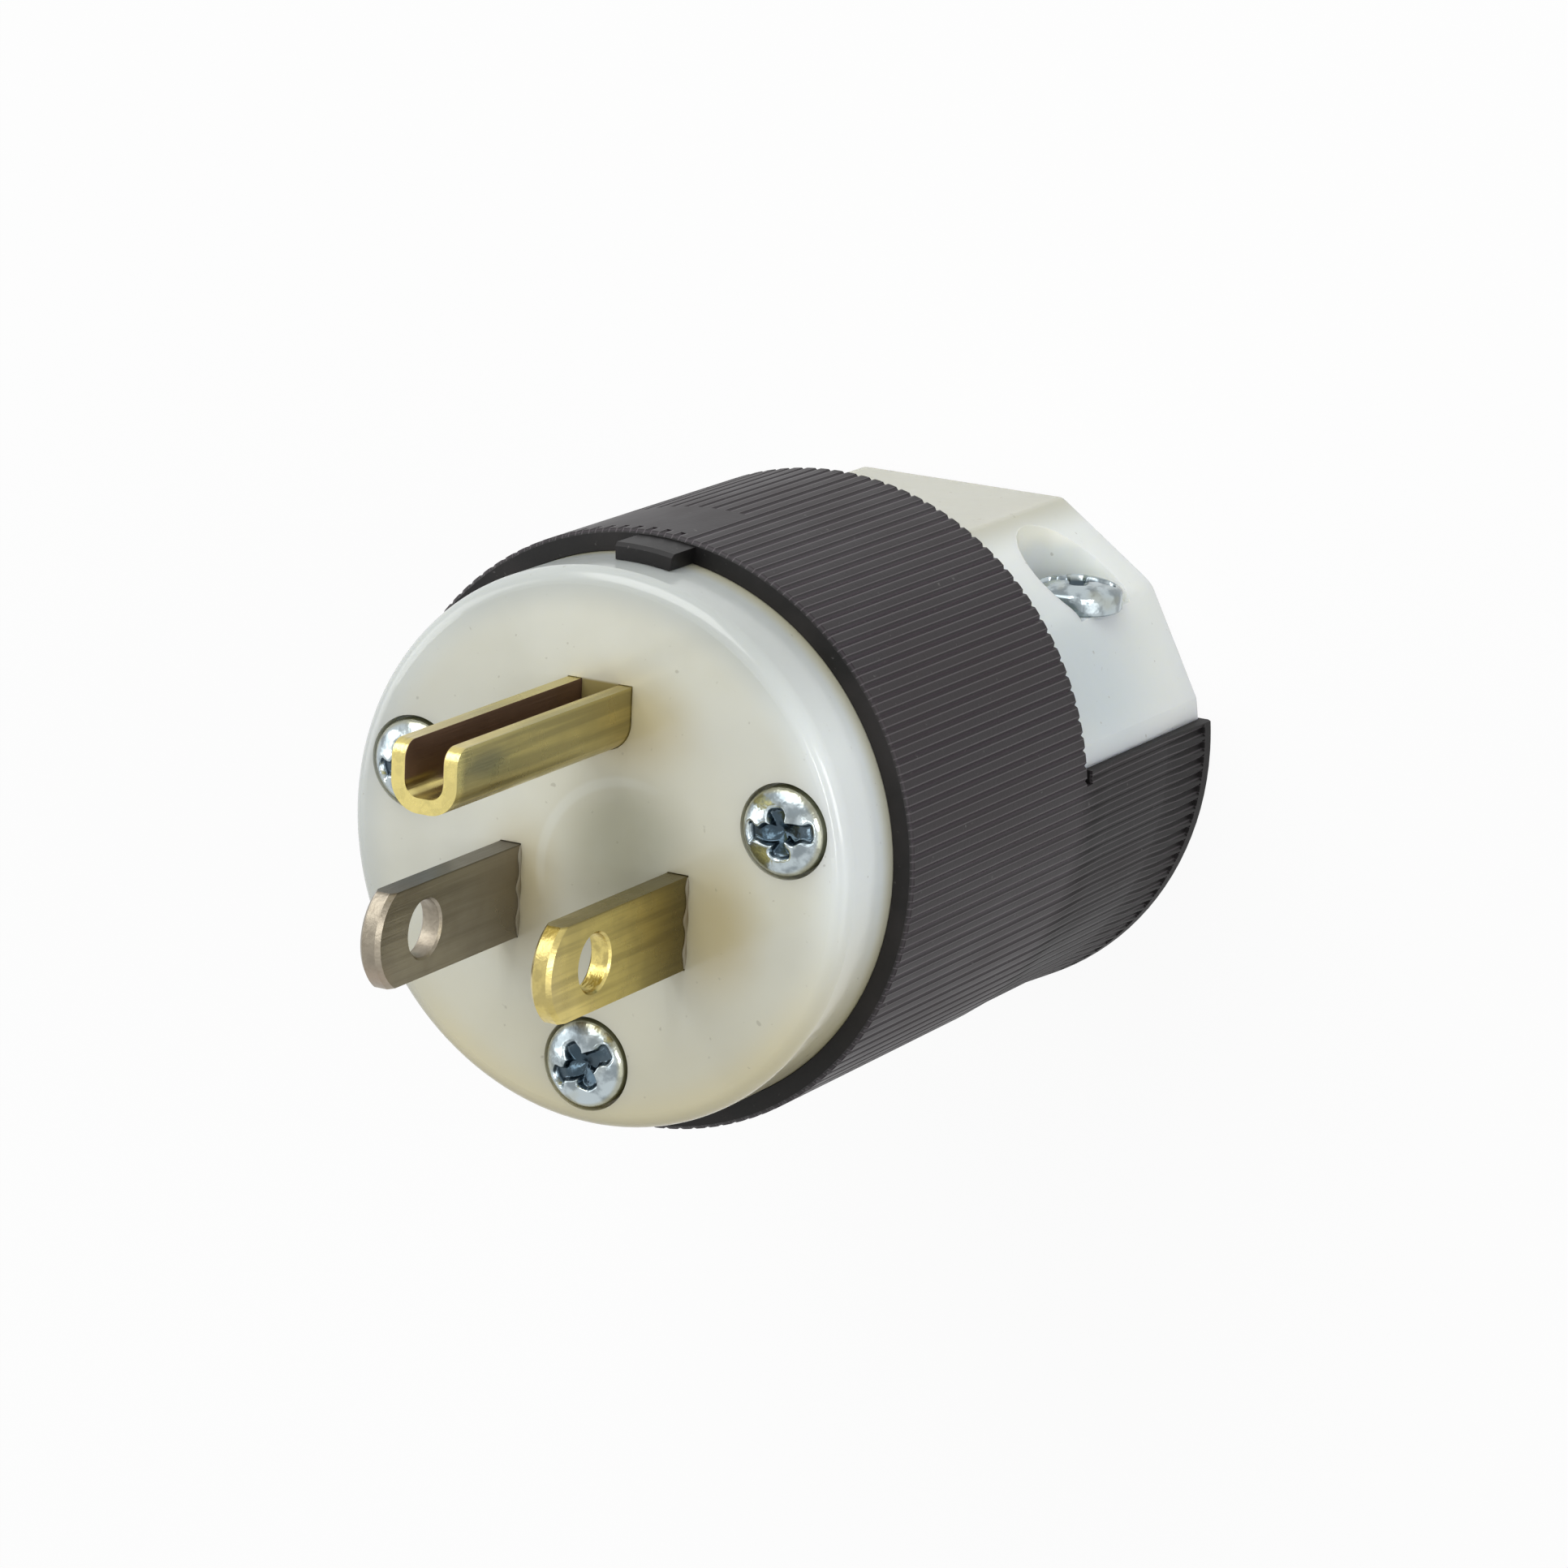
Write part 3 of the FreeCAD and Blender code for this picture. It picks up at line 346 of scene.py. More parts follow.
def moulded_black_nylon(sizes, colours):
    """Black nylon out of a textured mould: satin, with rounded ribs that carry a painted highlight along
    their edges, pale grooves as painted light, a darker front ring and a darker and duller tongue as painted
    shade, slow mottling and a little dust."""
    material, tree = new_material("moulded_black_nylon")
    spot, parts = place_in_mm(tree)
    inner_radius, groove_radius, crest_radius = 20.02, 20.1, 20.28
    rear_band, tongue, front_ring = (1.1, 1.25), (20.5, 17.5), (44.1, 44.25)
    pad_turn, pad_half_turn = math.radians(97.5), math.radians(13.4)
    pad_level, pad_half_height = 39.3, 3.8

    # Ribs: a rounded wave all round the outside, but none on the rear band and the smooth pad
    _, radius = across_axis(tree, spot)
    turn = add_node(tree, "ShaderNodeMath", {0: parts[1], 1: parts[0]}, operation="ARCTAN2").outputs[0]
    phase = add_node(tree, "ShaderNodeMath", {0: turn, 1: sizes.rib_count / math.tau},
                     operation="MULTIPLY").outputs[0]
    saw = add_node(tree, "ShaderNodeMath", {0: phase, 1: 0.5}, operation="PINGPONG").outputs[0]
    side = add_node(tree, "ShaderNodeMapRange", {0: saw, 1: 0.1, 2: 0.5},
                    interpolation_type="SMOOTHSTEP").outputs[0]
    outside = add_node(tree, "ShaderNodeMapRange", {0: radius, 1: inner_radius, 2: groove_radius}).outputs[0]
    band = add_node(tree, "ShaderNodeMapRange",
                    {0: parts[2], 1: rear_band[0], 2: rear_band[1]}).outputs[0]
    banded = add_node(tree, "ShaderNodeMath", {0: outside, 1: band}, operation="MULTIPLY").outputs[0]
    in_turn = add_node(tree, "ShaderNodeMath", {0: turn, 1: pad_turn, 2: pad_half_turn},
                       operation="COMPARE").outputs[0]
    in_level = add_node(tree, "ShaderNodeMath", {0: parts[2], 1: pad_level, 2: pad_half_height},
                        operation="COMPARE").outputs[0]
    pad = add_node(tree, "ShaderNodeMath", {0: in_turn, 1: in_level}, operation="MULTIPLY").outputs[0]
    ribbed = add_node(tree, "ShaderNodeMath", {0: banded, 1: pad}, operation="SUBTRACT",
                      use_clamp=True).outputs[0]
    drop = add_node(tree, "ShaderNodeMath", {0: side, 1: ribbed}, operation="MULTIPLY").outputs[0]
    round_height = add_node(tree, "ShaderNodeMath", {0: drop, 1: -sizes.rib_round / MM},
                            operation="MULTIPLY").outputs[0]
    grain = clouds(tree, spot, sizes.texture_grain / MM, 4)
    grain_height = 0.012
    height = add_node(tree, "ShaderNodeMath", {0: grain, 1: grain_height, 2: round_height},
                      operation="MULTIPLY_ADD").outputs[0]

    # Colour: grooves made pale as painted light, dark crests with a painted highlight along their edges,
    # dark ends as painted shade, mottling and dust
    mottle = clouds(tree, spot, 5.0, 4, (1, 1, 0.4))
    # The middle colour here is a painted highlight for the ribs' edges
    mottled, rubbed, dust = linear("#403b3b"), linear("#5b5659"), linear("#615f5e")
    # Painted shade below the ribs' root and painted light in the grooves, before the crests' own black
    tone = tint(tree, colours.shell_painted_shade, colours.shell_groove_painted_light, radius, inner_radius, groove_radius)
    tone = tint(tree, tone, colours.shell_crest, radius, groove_radius, crest_radius)
    # Painted shade: the front ring and most of the tongue are darkened
    tone = tint(tree, tone, colours.shell_painted_shade, parts[2], *front_ring)
    tone = tint(tree, tone, colours.shell_painted_shade, parts[2], *tongue, 0.9)
    tone = tint(tree, tone, mottled, mottle, 0.35, 0.75, 0.25)
    # Painted highlight: a pale line on each rib's sides, where the light catches the edges
    edge = add_node(tree, "ShaderNodeMath", {0: inside_band(tree, saw, 0.235, 0.285, 0.03), 1: ribbed},
                    operation="MULTIPLY").outputs[0]
    tone = tint(tree, tone, rubbed, edge, 0, 1, 0.6)
    tone = tint(tree, tone, dust, clouds(tree, spot, 0.5, 2), 0.7, 0.8, 0.5)
    rough = cloudy_roughness(tree, mottle, 0.42, 0.56)
    duller = add_node(tree, "ShaderNodeMapRange",
                      {0: parts[2], 1: tongue[0], 2: tongue[1], 3: 0.0, 4: 0.14}).outputs[0]
    rough = add_node(tree, "ShaderNodeMath", {0: rough, 1: duller}, operation="ADD").outputs[0]
    finish_material(tree, height, 1.0, {"Base Color": tone, "Roughness": rough, "IOR": 1.53,
                                        "Specular IOR Level": 0.27})
    return material


def natural_nylon(name, sizes, base, gloss, glow, add_shades=None):
    """Uncoloured nylon: translucent, waxy, with slow clouds and the odd dark speck. glow is the
    share of the light that goes in and comes out elsewhere. gloss is the least roughness."""
    material, tree = new_material(name)
    spot, _ = place_in_mm(tree)
    cloud = clouds(tree, spot, 7.0, 3)
    pale, speck = linear("#e2e5de"), linear("#8b8775")
    tone = tint(tree, base, pale, cloud, 0.3, 0.7, 0.3)
    if add_shades:
        tone = add_shades(tree, spot, tone)
    tone = tint(tree, tone, speck, clouds(tree, spot, 0.6, 1), 0.74, 0.8, 0.35)
    wave = clouds(tree, spot, 2.6, 2)
    rough = cloudy_roughness(tree, cloud, gloss, gloss + 0.09)
    finish_material(tree, wave, 0.04, {
        "Base Color": tone, "Roughness": rough, "IOR": 1.53,
        "Subsurface Weight": glow, "Subsurface Radius": (1.0, 0.95, 0.75),
        "Subsurface Scale": sizes.nylon_depth})
    return material


def face_shades(colours):
    """The face: a paler, cool rim of painted light, toned greyer on the left and above and warmer below by
    painted shade;
    painted shade grey over the hollow between the terminals and towards the lower edge, a warm painted
    reflection beside brass, a paler arc of painted reflection, yellow painted shade lit by the brass inside
    the pin's channel, and yellowish by the shell."""
    # The first colour is painted shade in the pin's channel, yellowed by the brass's reflection
    channel_brass_shade, by_shell = linear("#8d7f45"), linear("#c4bd92")
    # Painted shade for the rim: warmer below, greyer on the left and above
    rim_low_painted_shade, rim_left_painted_shade, rim_upper_painted_shade = linear("#cdc5a2"), linear("#bcc1be"), linear("#bbc0bd")
    hollow_middle, hollow_deepest = (3.0, 0.5, 0), (2.6, 0.6, 0)
    beside_brass = (((2.2, 9.3, 0), (0.7, 1, 0)), ((8.9, -3.8, 0), (0.9, 0.7, 0)),
                    ((-5.6, -3.8, 0), (1.1, 0.7, 0)))
    reflection_arc_middle, reflection_arc_radii = (2.6, -1.6, 0), (6.5, 6.7)
    channel_sides, channel_levels = (-1.33, 1.33), (8.3, 11.3)

    def shades(tree, spot, tone):
        flat, radius = across_axis(tree, spot)
        # Painted shade over the hollow between the terminals, greyest near its middle
        tone = tint_near(tree, tone, colours.nylon_middle_painted_shade, 0.5, spot, hollow_middle, 0, 14)
        tone = tint_near(tree, tone, colours.nylon_hollow_painted_shade, 0.8, spot, hollow_deepest, 1.5, 5.0)
        # Painted reflection of the brass, warming the nylon beside each brass part
        for centre, squeeze in beside_brass:
            tone = tint_near(tree, tone, colours.nylon_brass_reflection, 0.68, spot, centre, 0.6, 4.2, squeeze)

        # Painted reflection: a paler arc round the upper left of the hollow
        offset = add_node(tree, "ShaderNodeVectorMath", {0: flat, 1: reflection_arc_middle},
                          operation="SUBTRACT").outputs[0]
        far = add_node(tree, "ShaderNodeVectorMath", {0: offset}, operation="LENGTH").outputs["Value"]
        upper = add_node(tree, "ShaderNodeSeparateXYZ", {0: offset}).outputs
        side = add_node(tree, "ShaderNodeMath", {0: upper[1], 1: upper[0]}, operation="SUBTRACT").outputs[0]
        arc = add_node(tree, "ShaderNodeMapRange", {0: side, 1: 3, 2: 8}).outputs[0]
        ring = add_node(tree, "ShaderNodeMath", {0: inside_band(tree, far, *reflection_arc_radii, 0.5), 1: arc},
                        operation="MULTIPLY").outputs[0]
        tone = tint(tree, tone, colours.nylon_rim_painted_light, ring, 0, 1, 0.2)

        parts = add_node(tree, "ShaderNodeSeparateXYZ", {0: spot}).outputs
        # Painted shade inside the pin's channel, yellow with light thrown from the brass
        channel = add_node(tree, "ShaderNodeMath", {0: inside_band(tree, parts[0], *channel_sides, 0.08),
                                                    1: inside_band(tree, parts[1], *channel_levels, 0.3)},
                           operation="MULTIPLY").outputs[0]
        tone = tint(tree, tone, channel_brass_shade, channel, 0, 1, 0.9)
        # Painted shade, darker and warmer towards the lower edge
        tone = tint(tree, tone, colours.nylon_low_painted_shade, parts[1], -3.0, -16.0, 0.6)
        # The rim's painted light, toned by painted shade warmer below and greyer on the left and above
        rim = tint(tree, colours.nylon_rim_painted_light, rim_low_painted_shade, parts[1], 2.0, -13.0, 0.95)
        rim = tint(tree, rim, rim_left_painted_shade, parts[0], -9.0, -17.0, 0.8)
        rim = tint(tree, rim, rim_upper_painted_shade, parts[1], 8.0, 16.0)
        tone = tint(tree, tone, rim, radius, 15.5, 18.4)
        return tint(tree, tone, by_shell, parts[2], 46.0, 44.4, 0.6)
    return shades


def clamp_shades(colours):
    """The clamp: yellowish dirt on top, darkened there by painted shade, a painted bluish shade below the
    screws near the drum, and painted light inside the wells.
    """
    # Painted light for the insides of the screws' wells
    pale = linear("#fbf8e2")

    def shades(tree, spot, tone):
        level = add_node(tree, "ShaderNodeSeparateXYZ", {0: spot}).outputs[1]
        # Yellowish dirt and painted shade on the clamp's top
        tone = tint(tree, tone, colours.clamp_top_dirt_and_shade, level, 14.7, 16.6, 0.8)
        for sign in (1, -1):
            near_drum, well = (sign * 17.2, 7.0, 14), (sign * 13.3, 15, 8.2)
            # Painted shade, bluish, below each screw near the drum
            tone = tint_near(tree, tone, colours.clamp_bluish_shade, 0.8, spot, near_drum, 1.0, 8.5, (1, 0.8, 0.8))
            # Painted light inside each screw's well, whose walls lie in shade
            tone = tint_near(tree, tone, pale, 1.0, spot, well, 4.2, 0.35, (1, 0.9, 1))
        return tone
    return shades


def rolled_tone(tree, spot, sizes, bright, dull, streaks):
    """Colour and lines of sheet off the roll: fine and broad lines along it, and clouds of tarnish."""
    fine = sizes.roll_pitch / MM
    broad = 4 * fine
    lines = clouds(tree, spot, fine, 3, (1, 1, 0.04))
    cloud = clouds(tree, spot, 3.5, 4)
    tone = tint(tree, bright, dull, cloud, 0.4, 0.75, 0.35)
    tone = tint(tree, tone, dull, clouds(tree, spot, broad, 2, (1, 1, 0.03)), 0.45, 0.62, streaks)
    return tint(tree, tone, dull, lines, 0.45, 0.75, 0.25), lines, cloud


def stamped_sheet(name, sizes, tones, rough):
    """A flat blade stamped out of sheet: lines along it, duller towards the face, and a tip that
    is rubbed bright by its socket and shows the metal under the plate at its lower corner."""
    material, tree = new_material(name)
    spot, parts = place_in_mm(tree)
    root, rubbed_tip, upper_edge, lower_corner = (59.5, 51.2), (65.4, 67.4), (-0.62, -0.5), (-4.6, -6.2)
    tone, lines, cloud = rolled_tone(tree, spot, sizes, tones["bright"], tones["dull"], 0.4)
    tone = tint(tree, tone, tones["root"], parts[2], *root, 0.8)
    tone = tint(tree, tone, tones["edge"], parts[1], *upper_edge, 0.7)
    tip = tint(tree, tones["tip"], tones["under"], parts[1], *lower_corner, 0.75)
    tone = tint(tree, tone, tip, parts[2], *rubbed_tip, tones["rubbed"])
    finish_material(tree, lines, 0.02, {"Base Color": tone, "Metallic": 1.0,
                                        "Roughness": cloudy_roughness(tree, cloud, rough, rough + 0.15)})
    return material


def folded_brass(sizes, colours):
    """The pin's sheet: brown with oxide down in the channel, painted highlights on its rims and its nose,
    and painted reflections on its outer side and near its nose.
    """
    material, tree = new_material("folded_brass")
    spot, parts = place_in_mm(tree)
    # Colours of the painted reflections and highlights on the pin
    dark_reflection_patch, flank_reflection = linear("#53574a"), linear("#9f966c")
    rim_highlight, nose_highlight = linear("#d8cb88"), linear("#decf86")
    flank, rim, nose, nose_flank = (2.2, 2.36), (11.1, 11.35), (70.6, 71.4), (2.4, 10.0, 68.3)
    tone, lines, cloud = rolled_tone(tree, spot, sizes, colours.brass, colours.brass_dull, 0.65)
    # Painted reflection: a dark grey-green patch on the outer wall near the nose
    tone = tint_near(tree, tone, dark_reflection_patch, 0.85, spot, nose_flank, 0.25, 0.9, (1, 1, 0.32))
    # Painted reflection on the outer right side of the pin
    tone = tint(tree, tone, flank_reflection, parts[0], *flank, 0.5)
    # Painted highlights on the rims of the walls and on the nose
    tone = tint(tree, tone, rim_highlight, parts[1], *rim, 0.3)
    tone = tint(tree, tone, nose_highlight, parts[2], *nose, 0.7)

    # Oxide between the walls, but not on the floor near the nose
    within = add_node(tree, "ShaderNodeMath", {0: inside_band(tree, parts[0], -1.38, 1.38, 0.1),
                                               1: inside_band(tree, parts[1], 8.4, 13.0, 0.3)},
                      operation="MULTIPLY").outputs[0]
    floor = add_node(tree, "ShaderNodeMath", {0: inside_band(tree, parts[1], 7.0, 8.6, 0.5),
                                              1: inside_band(tree, parts[2], 70.0, 73.0, 3.5)},
                     operation="MULTIPLY").outputs[0]
    browned = add_node(tree, "ShaderNodeMath", {0: within, 1: floor}, operation="SUBTRACT",
                       use_clamp=True).outputs[0]
    tone = tint(tree, tone, colours.oxide, browned, 0, 1)
    shine = cloudy_roughness(tree, cloud, 0.2, 0.36)
    oxide_roughness = 0.35
    rough = add_node(tree, "ShaderNodeMath", {0: browned, 1: oxide_roughness, 2: shine},
                     operation="MULTIPLY_ADD").outputs[0]
    finish_material(tree, lines, 0.02, {"Base Color": tone, "Metallic": 1.0, "Roughness": rough})
    return material


def zinc_plated_steel(name, colours):
    """Bright zinc with a clear passivated skin: bluish, faintly yellow in places, darkened as painted shade
    in its recesses and olive under the head's edge as painted shade and reflection of the nylon, with small
    dents."""
    material, tree = new_material(name)
    spot, _ = place_in_mm(tree)
    yellow, recess, olive_shade_and_reflection = linear("#a5a07c"), linear("#33434e"), linear("#9b987c")
    cloud = clouds(tree, spot, 1.2, 3)
    tone = tint(tree, colours.zinc, colours.zinc_dull, cloud, 0.42, 0.64, 0.6)
    tone = tint(tree, tone, yellow, clouds(tree, spot, 2.1, 1), 0.5, 0.7, 0.3)
    sunk = add_node(tree, "ShaderNodeAttribute", attribute_name="sunk").outputs["Fac"]
    # Painted shade in the drive recesses
    tone = tint(tree, tone, recess, sunk, 0.15, 0.8, 0.95)
    # Painted shade and painted reflection of the nylon under the head's edge
    tone = tint(tree, tone, olive_shade_and_reflection, sunk, -0.15, -0.9, 0.7)
    shine = cloudy_roughness(tree, cloud, 0.12, 0.26)
    finish_material(tree, clouds(tree, spot, 0.7, 2), 0.05, {
        "Base Color": tone, "Metallic": 1.0, "Roughness": shine})
    return material


def painted_steel(colours):
    """Green enamel over a steel screw head: glossy, with darker clouds where it is thick."""
    material, tree = new_material("green_painted_steel")
    spot, _ = place_in_mm(tree)
    thick = linear("#1f5c31")
    cloud = clouds(tree, spot, 0.9, 3)
    tone = tint(tree, colours.paint, thick, cloud, 0.4, 0.7, 0.4)
    finish_material(tree, cloud, 0.03, {"Base Color": tone, "Roughness": 0.35, "IOR": 1.5})
    return material


# Operators, one for each piece or group of like pieces


class PLUG_OT_outer_shell(bpy.types.Operator):
    """Finish the black ribbed shell"""

    bl_idname = "plug.outer_shell"
    bl_label = "Outer shell"

    def execute(self, context):
        paint(moulded_black_nylon(context.scene.plug_sizes, context.scene.plug_colours), "outer_shell")
        return {"FINISHED"}


class PLUG_OT_cord_clamp(bpy.types.Operator):
    """Finish the white cord clamp"""

    bl_idname = "plug.cord_clamp"
    bl_label = "Cord clamp"

    def execute(self, context):
        sizes, colours = context.scene.plug_sizes, context.scene.plug_colours
        paint(natural_nylon("natural_nylon_clamp", sizes, colours.clamp_nylon, 0.17, 0.85,
                            clamp_shades(colours)), "cord_clamp")
        return {"FINISHED"}


class PLUG_OT_face_insert(bpy.types.Operator):
    """Finish the white face and the block behind it"""

    bl_idname = "plug.face_insert"
    bl_label = "Face and terminal block"

    def execute(self, context):
        sizes, colours = context.scene.plug_sizes, context.scene.plug_colours
        paint(natural_nylon("natural_nylon_face", sizes, colours.nylon_face, 0.12, 0.35,
                            face_shades(colours)), "face_insert")
        # Painted shade: the slot lips are a dark warm brown, so that their lit sides stay dark next to the
        # blades
        browned = linear("#6d6142")
        lip = natural_nylon("painted_shade_nylon_lip", sizes, browned, 0.5, 0.1)
        for blade, side, corner in (("hot", "outer", 1), ("hot", "inner", 0), ("neutral", "inner", 1),
                                    ("neutral", "outer", 0)):
            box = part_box(f"blade_{blade}")
            middle = (box[corner].x / MM, (box[0].y + box[1].y) / 2 / MM, FACE_LEVEL)
            points = slot_lip(middle, sizes.lip_height / MM)
            turned_grid(f"slot_lip_{blade}_{side}", points, [], lip)
        paint(natural_nylon("natural_nylon_block", sizes, colours.nylon_face, 0.2, 0.35), "terminal_block")
        return {"FINISHED"}


class PLUG_OT_blades(bpy.types.Operator):
    """Finish the two flat blades"""

    bl_idname = "plug.blades"
    bl_label = "Blades"

    def execute(self, context):
        sizes, colours = context.scene.plug_sizes, context.scene.plug_colours
        bare = {"bright": colours.brass, "dull": colours.brass_dull,
                "root": linear("#595031"), "edge": linear("#7b6f41"),
                "tip": linear("#a99b68"), "under": linear("#b9a555"), "rubbed": 0.5}
        plated = {"bright": colours.nickel, "dull": linear("#787063"),
                  "root": linear("#8a8274"), "edge": linear("#554f45"),
                  "tip": linear("#80786a"), "under": linear("#8b6148"), "rubbed": 0.35}
        paint(stamped_sheet("stamped_brass", sizes, bare, 0.18), "blade_hot")
        paint(stamped_sheet("nickel_plated_brass", sizes, plated, 0.26), "blade_neutral")
        return {"FINISHED"}


class PLUG_OT_ground_pin(bpy.types.Operator):
    """Finish the folded ground pin"""

    bl_idname = "plug.ground_pin"
    bl_label = "Ground pin"

    def execute(self, context):
        sizes, colours = context.scene.plug_sizes, context.scene.plug_colours
        paint(folded_brass(sizes, colours), "ground_pin")
        return {"FINISHED"}


class PLUG_OT_driven_screws(bpy.types.Operator):
    """Make the domed face and clamp screws with their combination drives"""

    bl_idname = "plug.driven_screws"
    bl_label = "Face and clamp screws"

    def execute(self, context):
        sizes = context.scene.plug_sizes
        zinc = zinc_plated_steel("zinc_plated_heads", context.scene.plug_colours)
        for side, turn in (("right", 8), ("left", 20), ("lower", 32)):
            low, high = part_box(f"face_screw_{side}")
            middle = (low + high) / 2 / MM
            points, sunk = driven_screw(sizes.head_radius / MM, math.radians(turn), **FACE_SCREW,
                                        drive=DRIVE)
            points += (middle.x, middle.y, high.z / MM - FACE_SCREW["height"])
            turned_grid(f"driven_face_screw_{side}", points, [f"face_screw_{side}"], zinc, sunk)
        for side, turn in (("right", 25), ("left", 60)):
            low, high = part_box(f"clamp_screw_{side}")
            middle = (low + high) / 2 / MM
            points, sunk = driven_screw(sizes.clamp_head_radius / MM, math.radians(turn), **CLAMP_SCREW,
                                        drive=DRIVE)
            x, y, z = np.moveaxis(points, -1, 0)
            seat = high.y / MM - CLAMP_SCREW["height"]
            points = np.stack((x + middle.x, z + seat, middle.z - y), axis=-1)
            turned_grid(f"driven_clamp_screw_{side}", points, [f"clamp_screw_{side}"], zinc,
                        np.clip(sunk, 0, 1))
        return {"FINISHED"}


class PLUG_OT_fasteners(bpy.types.Operator):
    """Finish the nuts, terminal screws and wire plates"""

    bl_idname = "plug.fasteners"
    bl_label = "Nuts, terminal screws and plates"

    def execute(self, context):
        colours = context.scene.plug_colours
        kinds = ("face_screw", "face_nut", "clamp_screw", "clamp_nut", "terminal_screw", "wire_plate")
        plated = [name for name in NODES if name.startswith(kinds)]
        paint(zinc_plated_steel("zinc_plated_steel", colours), *plated)
        paint(painted_steel(colours), "terminal_screw_ground")
        return {"FINISHED"}


class PLUG_OT_stage(bpy.types.Operator):
    """Set the floor, the light and the camera"""

    bl_idname = "plug.stage"
    bl_label = "Stage"

    def execute(self, context):
        stage = context.scene.plug_stage
        floor = floor_plane()
        set_world(context.scene, stage)
        aim_level = 36
        aim = Vector((0, 0, aim_level)) * MM
        for name, spot, width, height, power in (
                ("top_lamp", (-150, 520, 420), 520, 520, stage.top_lamp),
                ("left_lamp", (-620, 60, 420), 420, 420, stage.left_lamp),
                ("right_lamp", (640, -180, 300), 420, 420, stage.right_lamp),
                ("side_lamp", (500, 140, 370), 260, 200, stage.side_lamp),
                ("front_strip", (112, -4, 540), 170, 46, stage.front_strip)):
            area_lamp(name, Vector(spot) * MM, aim, (width * MM, height * MM), power)
        set_camera(context.scene, stage)
        return {"FINISHED"}


def seen_as_white(tree):
    """1 for the camera and for what metal and glass show of the surroundings, otherwise 0."""
    path = add_node(tree, "ShaderNodeLightPath").outputs
    seen = add_node(tree, "ShaderNodeMath", {0: path["Is Camera Ray"], 1: path["Is Glossy Ray"]},
                    operation="ADD").outputs[0]
    return add_node(tree, "ShaderNodeMath", {0: seen, 1: path["Is Transmission Ray"]}, operation="ADD",
                    use_clamp=True).outputs[0]


def floor_plane():
    """A flat square, 6 m wide, under the plug. What the camera and mirrors see of it is nearly white."""
    half, white_share = 3.0, 0.93
    mesh = bpy.data.meshes.new("floor")
    corners = [(-half, -half, 0), (half, -half, 0), (half, half, 0), (-half, half, 0)]
    mesh.from_pydata(corners, [], [(0, 1, 2, 3)])
    floor = bpy.data.objects.new("floor", mesh)
    bpy.context.scene.collection.objects.link(floor)
    material, tree = new_material("white_paper")
    share = add_node(tree, "ShaderNodeMath", {0: seen_as_white(tree), 1: white_share},
                     operation="MULTIPLY").outputs[0]
    matt = add_node(tree, "ShaderNodeBsdfDiffuse", {"Color": linear("#e6e6e6")}).outputs[0]
    white = add_node(tree, "ShaderNodeEmission", {"Color": (1, 1, 1, 1), "Strength": 1.0}).outputs[0]
    mixed = add_node(tree, "ShaderNodeMixShader", {0: share, 1: matt, 2: white}).outputs[0]
    add_node(tree, "ShaderNodeOutputMaterial", {"Surface": mixed})
    mesh.materials.append(material)
    return floor


def set_world(scene, stage):
    """Even soft light from all round, and white where the camera or a reflection looks past the floor."""
    world = bpy.data.worlds.new("room")
    scene.world = world
    world.use_nodes = True
    tree = world.node_tree
    tree.nodes.clear()
    seen = seen_as_white(tree)
    strength = add_node(tree, "ShaderNodeMapRange",
                        {0: seen, 3: stage.world_level, 4: WHITE_LEVEL}).outputs[0]
    light = add_node(tree, "ShaderNodeBackground", {"Color": (1, 1, 1, 1), "Strength": strength}).outputs[0]
    add_node(tree, "ShaderNodeOutputWorld", {"Surface": light})


def area_lamp(name, spot, aim, size, power):
    """A soft rectangular lamp of this size, turned towards aim. Places and sizes are in metres."""
    lamp = bpy.data.lights.new(name, "AREA")
    lamp.shape = "RECTANGLE"
    lamp.size, lamp.size_y = size
    lamp.energy = power
    thing = bpy.data.objects.new(name, lamp)
    thing.location = spot
    thing.rotation_mode = "QUATERNION"
    thing.rotation_quaternion = (aim - spot).to_track_quat("-Z", "Y")
    bpy.context.scene.collection.objects.link(thing)


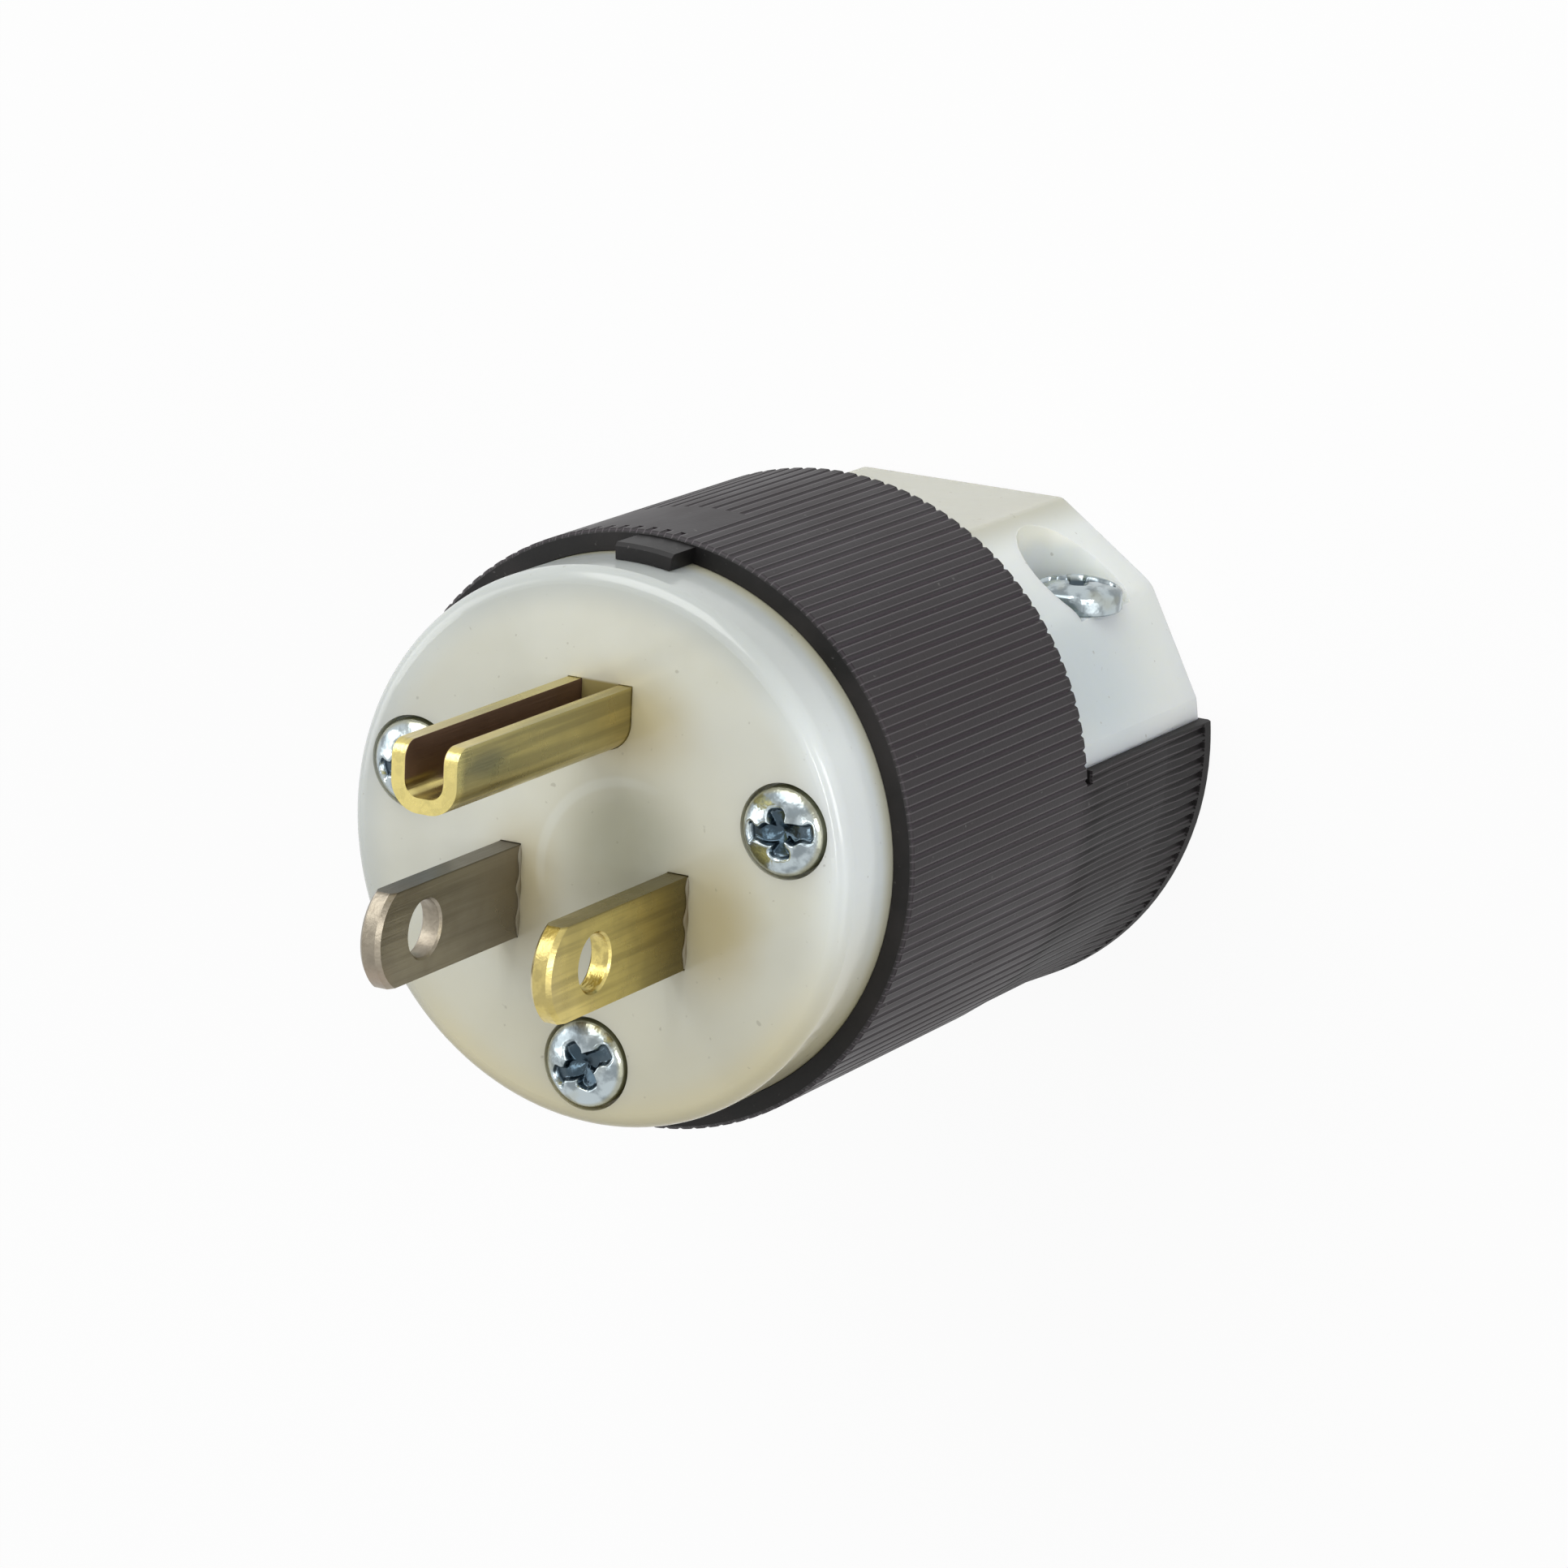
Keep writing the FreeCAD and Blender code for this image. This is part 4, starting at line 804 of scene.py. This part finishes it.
def set_camera(scene, stage):
    """The viewpoint of the photograph, with the ground pin's side of the plug upwards. Its place and
    its three directions were fitted to the photograph."""
    camera = bpy.data.objects.new("camera", bpy.data.cameras.new("camera"))
    scene.collection.objects.link(camera)
    right = Vector((0.87203, 0.04345, -0.48751))
    down = Vector((0.16001, -0.96663, 0.20007))
    ahead = Vector((-0.46255, -0.25247, -0.84989))
    place = Vector((203.905, 110.552, 399.638)) * MM
    turn = Matrix((right, -down, -ahead)).transposed()
    camera.matrix_world = Matrix.Translation(place) @ turn.to_4x4()
    camera.data.sensor_width = 36
    camera.data.lens = stage.lens
    camera.data.clip_start, camera.data.clip_end = 0.01, 20
    scene.camera = camera
    scene.view_settings.view_transform = "Standard"


STEPS = (PLUG_OT_outer_shell, PLUG_OT_cord_clamp, PLUG_OT_face_insert, PLUG_OT_blades,
         PLUG_OT_ground_pin, PLUG_OT_driven_screws, PLUG_OT_fasteners, PLUG_OT_stage)


class PLUG_PT_sidebar(bpy.types.Panel):
    """The plug's steps, sizes and colours"""

    bl_idname = "PLUG_PT_sidebar"
    bl_label = "Plug"
    bl_space_type = "VIEW_3D"
    bl_region_type = "UI"
    bl_category = "Plug"

    def draw(self, context):
        for step in STEPS:
            self.layout.operator(step.bl_idname)
        for group in (context.scene.plug_sizes, context.scene.plug_colours, context.scene.plug_stage):
            for name in group.__annotations__:
                self.layout.prop(group, name)


CLASSES = (PlugSizes, PlugColours, StageSizes, *STEPS, PLUG_PT_sidebar)


def register():
    for item in CLASSES:
        bpy.utils.register_class(item)
    bpy.types.Scene.plug_sizes = PointerProperty(type=PlugSizes)
    bpy.types.Scene.plug_colours = PointerProperty(type=PlugColours)
    bpy.types.Scene.plug_stage = PointerProperty(type=StageSizes)


def unregister():
    del bpy.types.Scene.plug_stage
    del bpy.types.Scene.plug_colours
    del bpy.types.Scene.plug_sizes
    for item in reversed(CLASSES):
        bpy.utils.unregister_class(item)


def main():
    register()
    bpy.ops.plug.outer_shell()
    bpy.ops.plug.cord_clamp()
    bpy.ops.plug.face_insert()
    bpy.ops.plug.blades()
    bpy.ops.plug.ground_pin()
    bpy.ops.plug.driven_screws()
    bpy.ops.plug.fasteners()
    bpy.ops.plug.stage()
    bpy.context.view_layer.update()


if __name__ == "__main__":
    main()
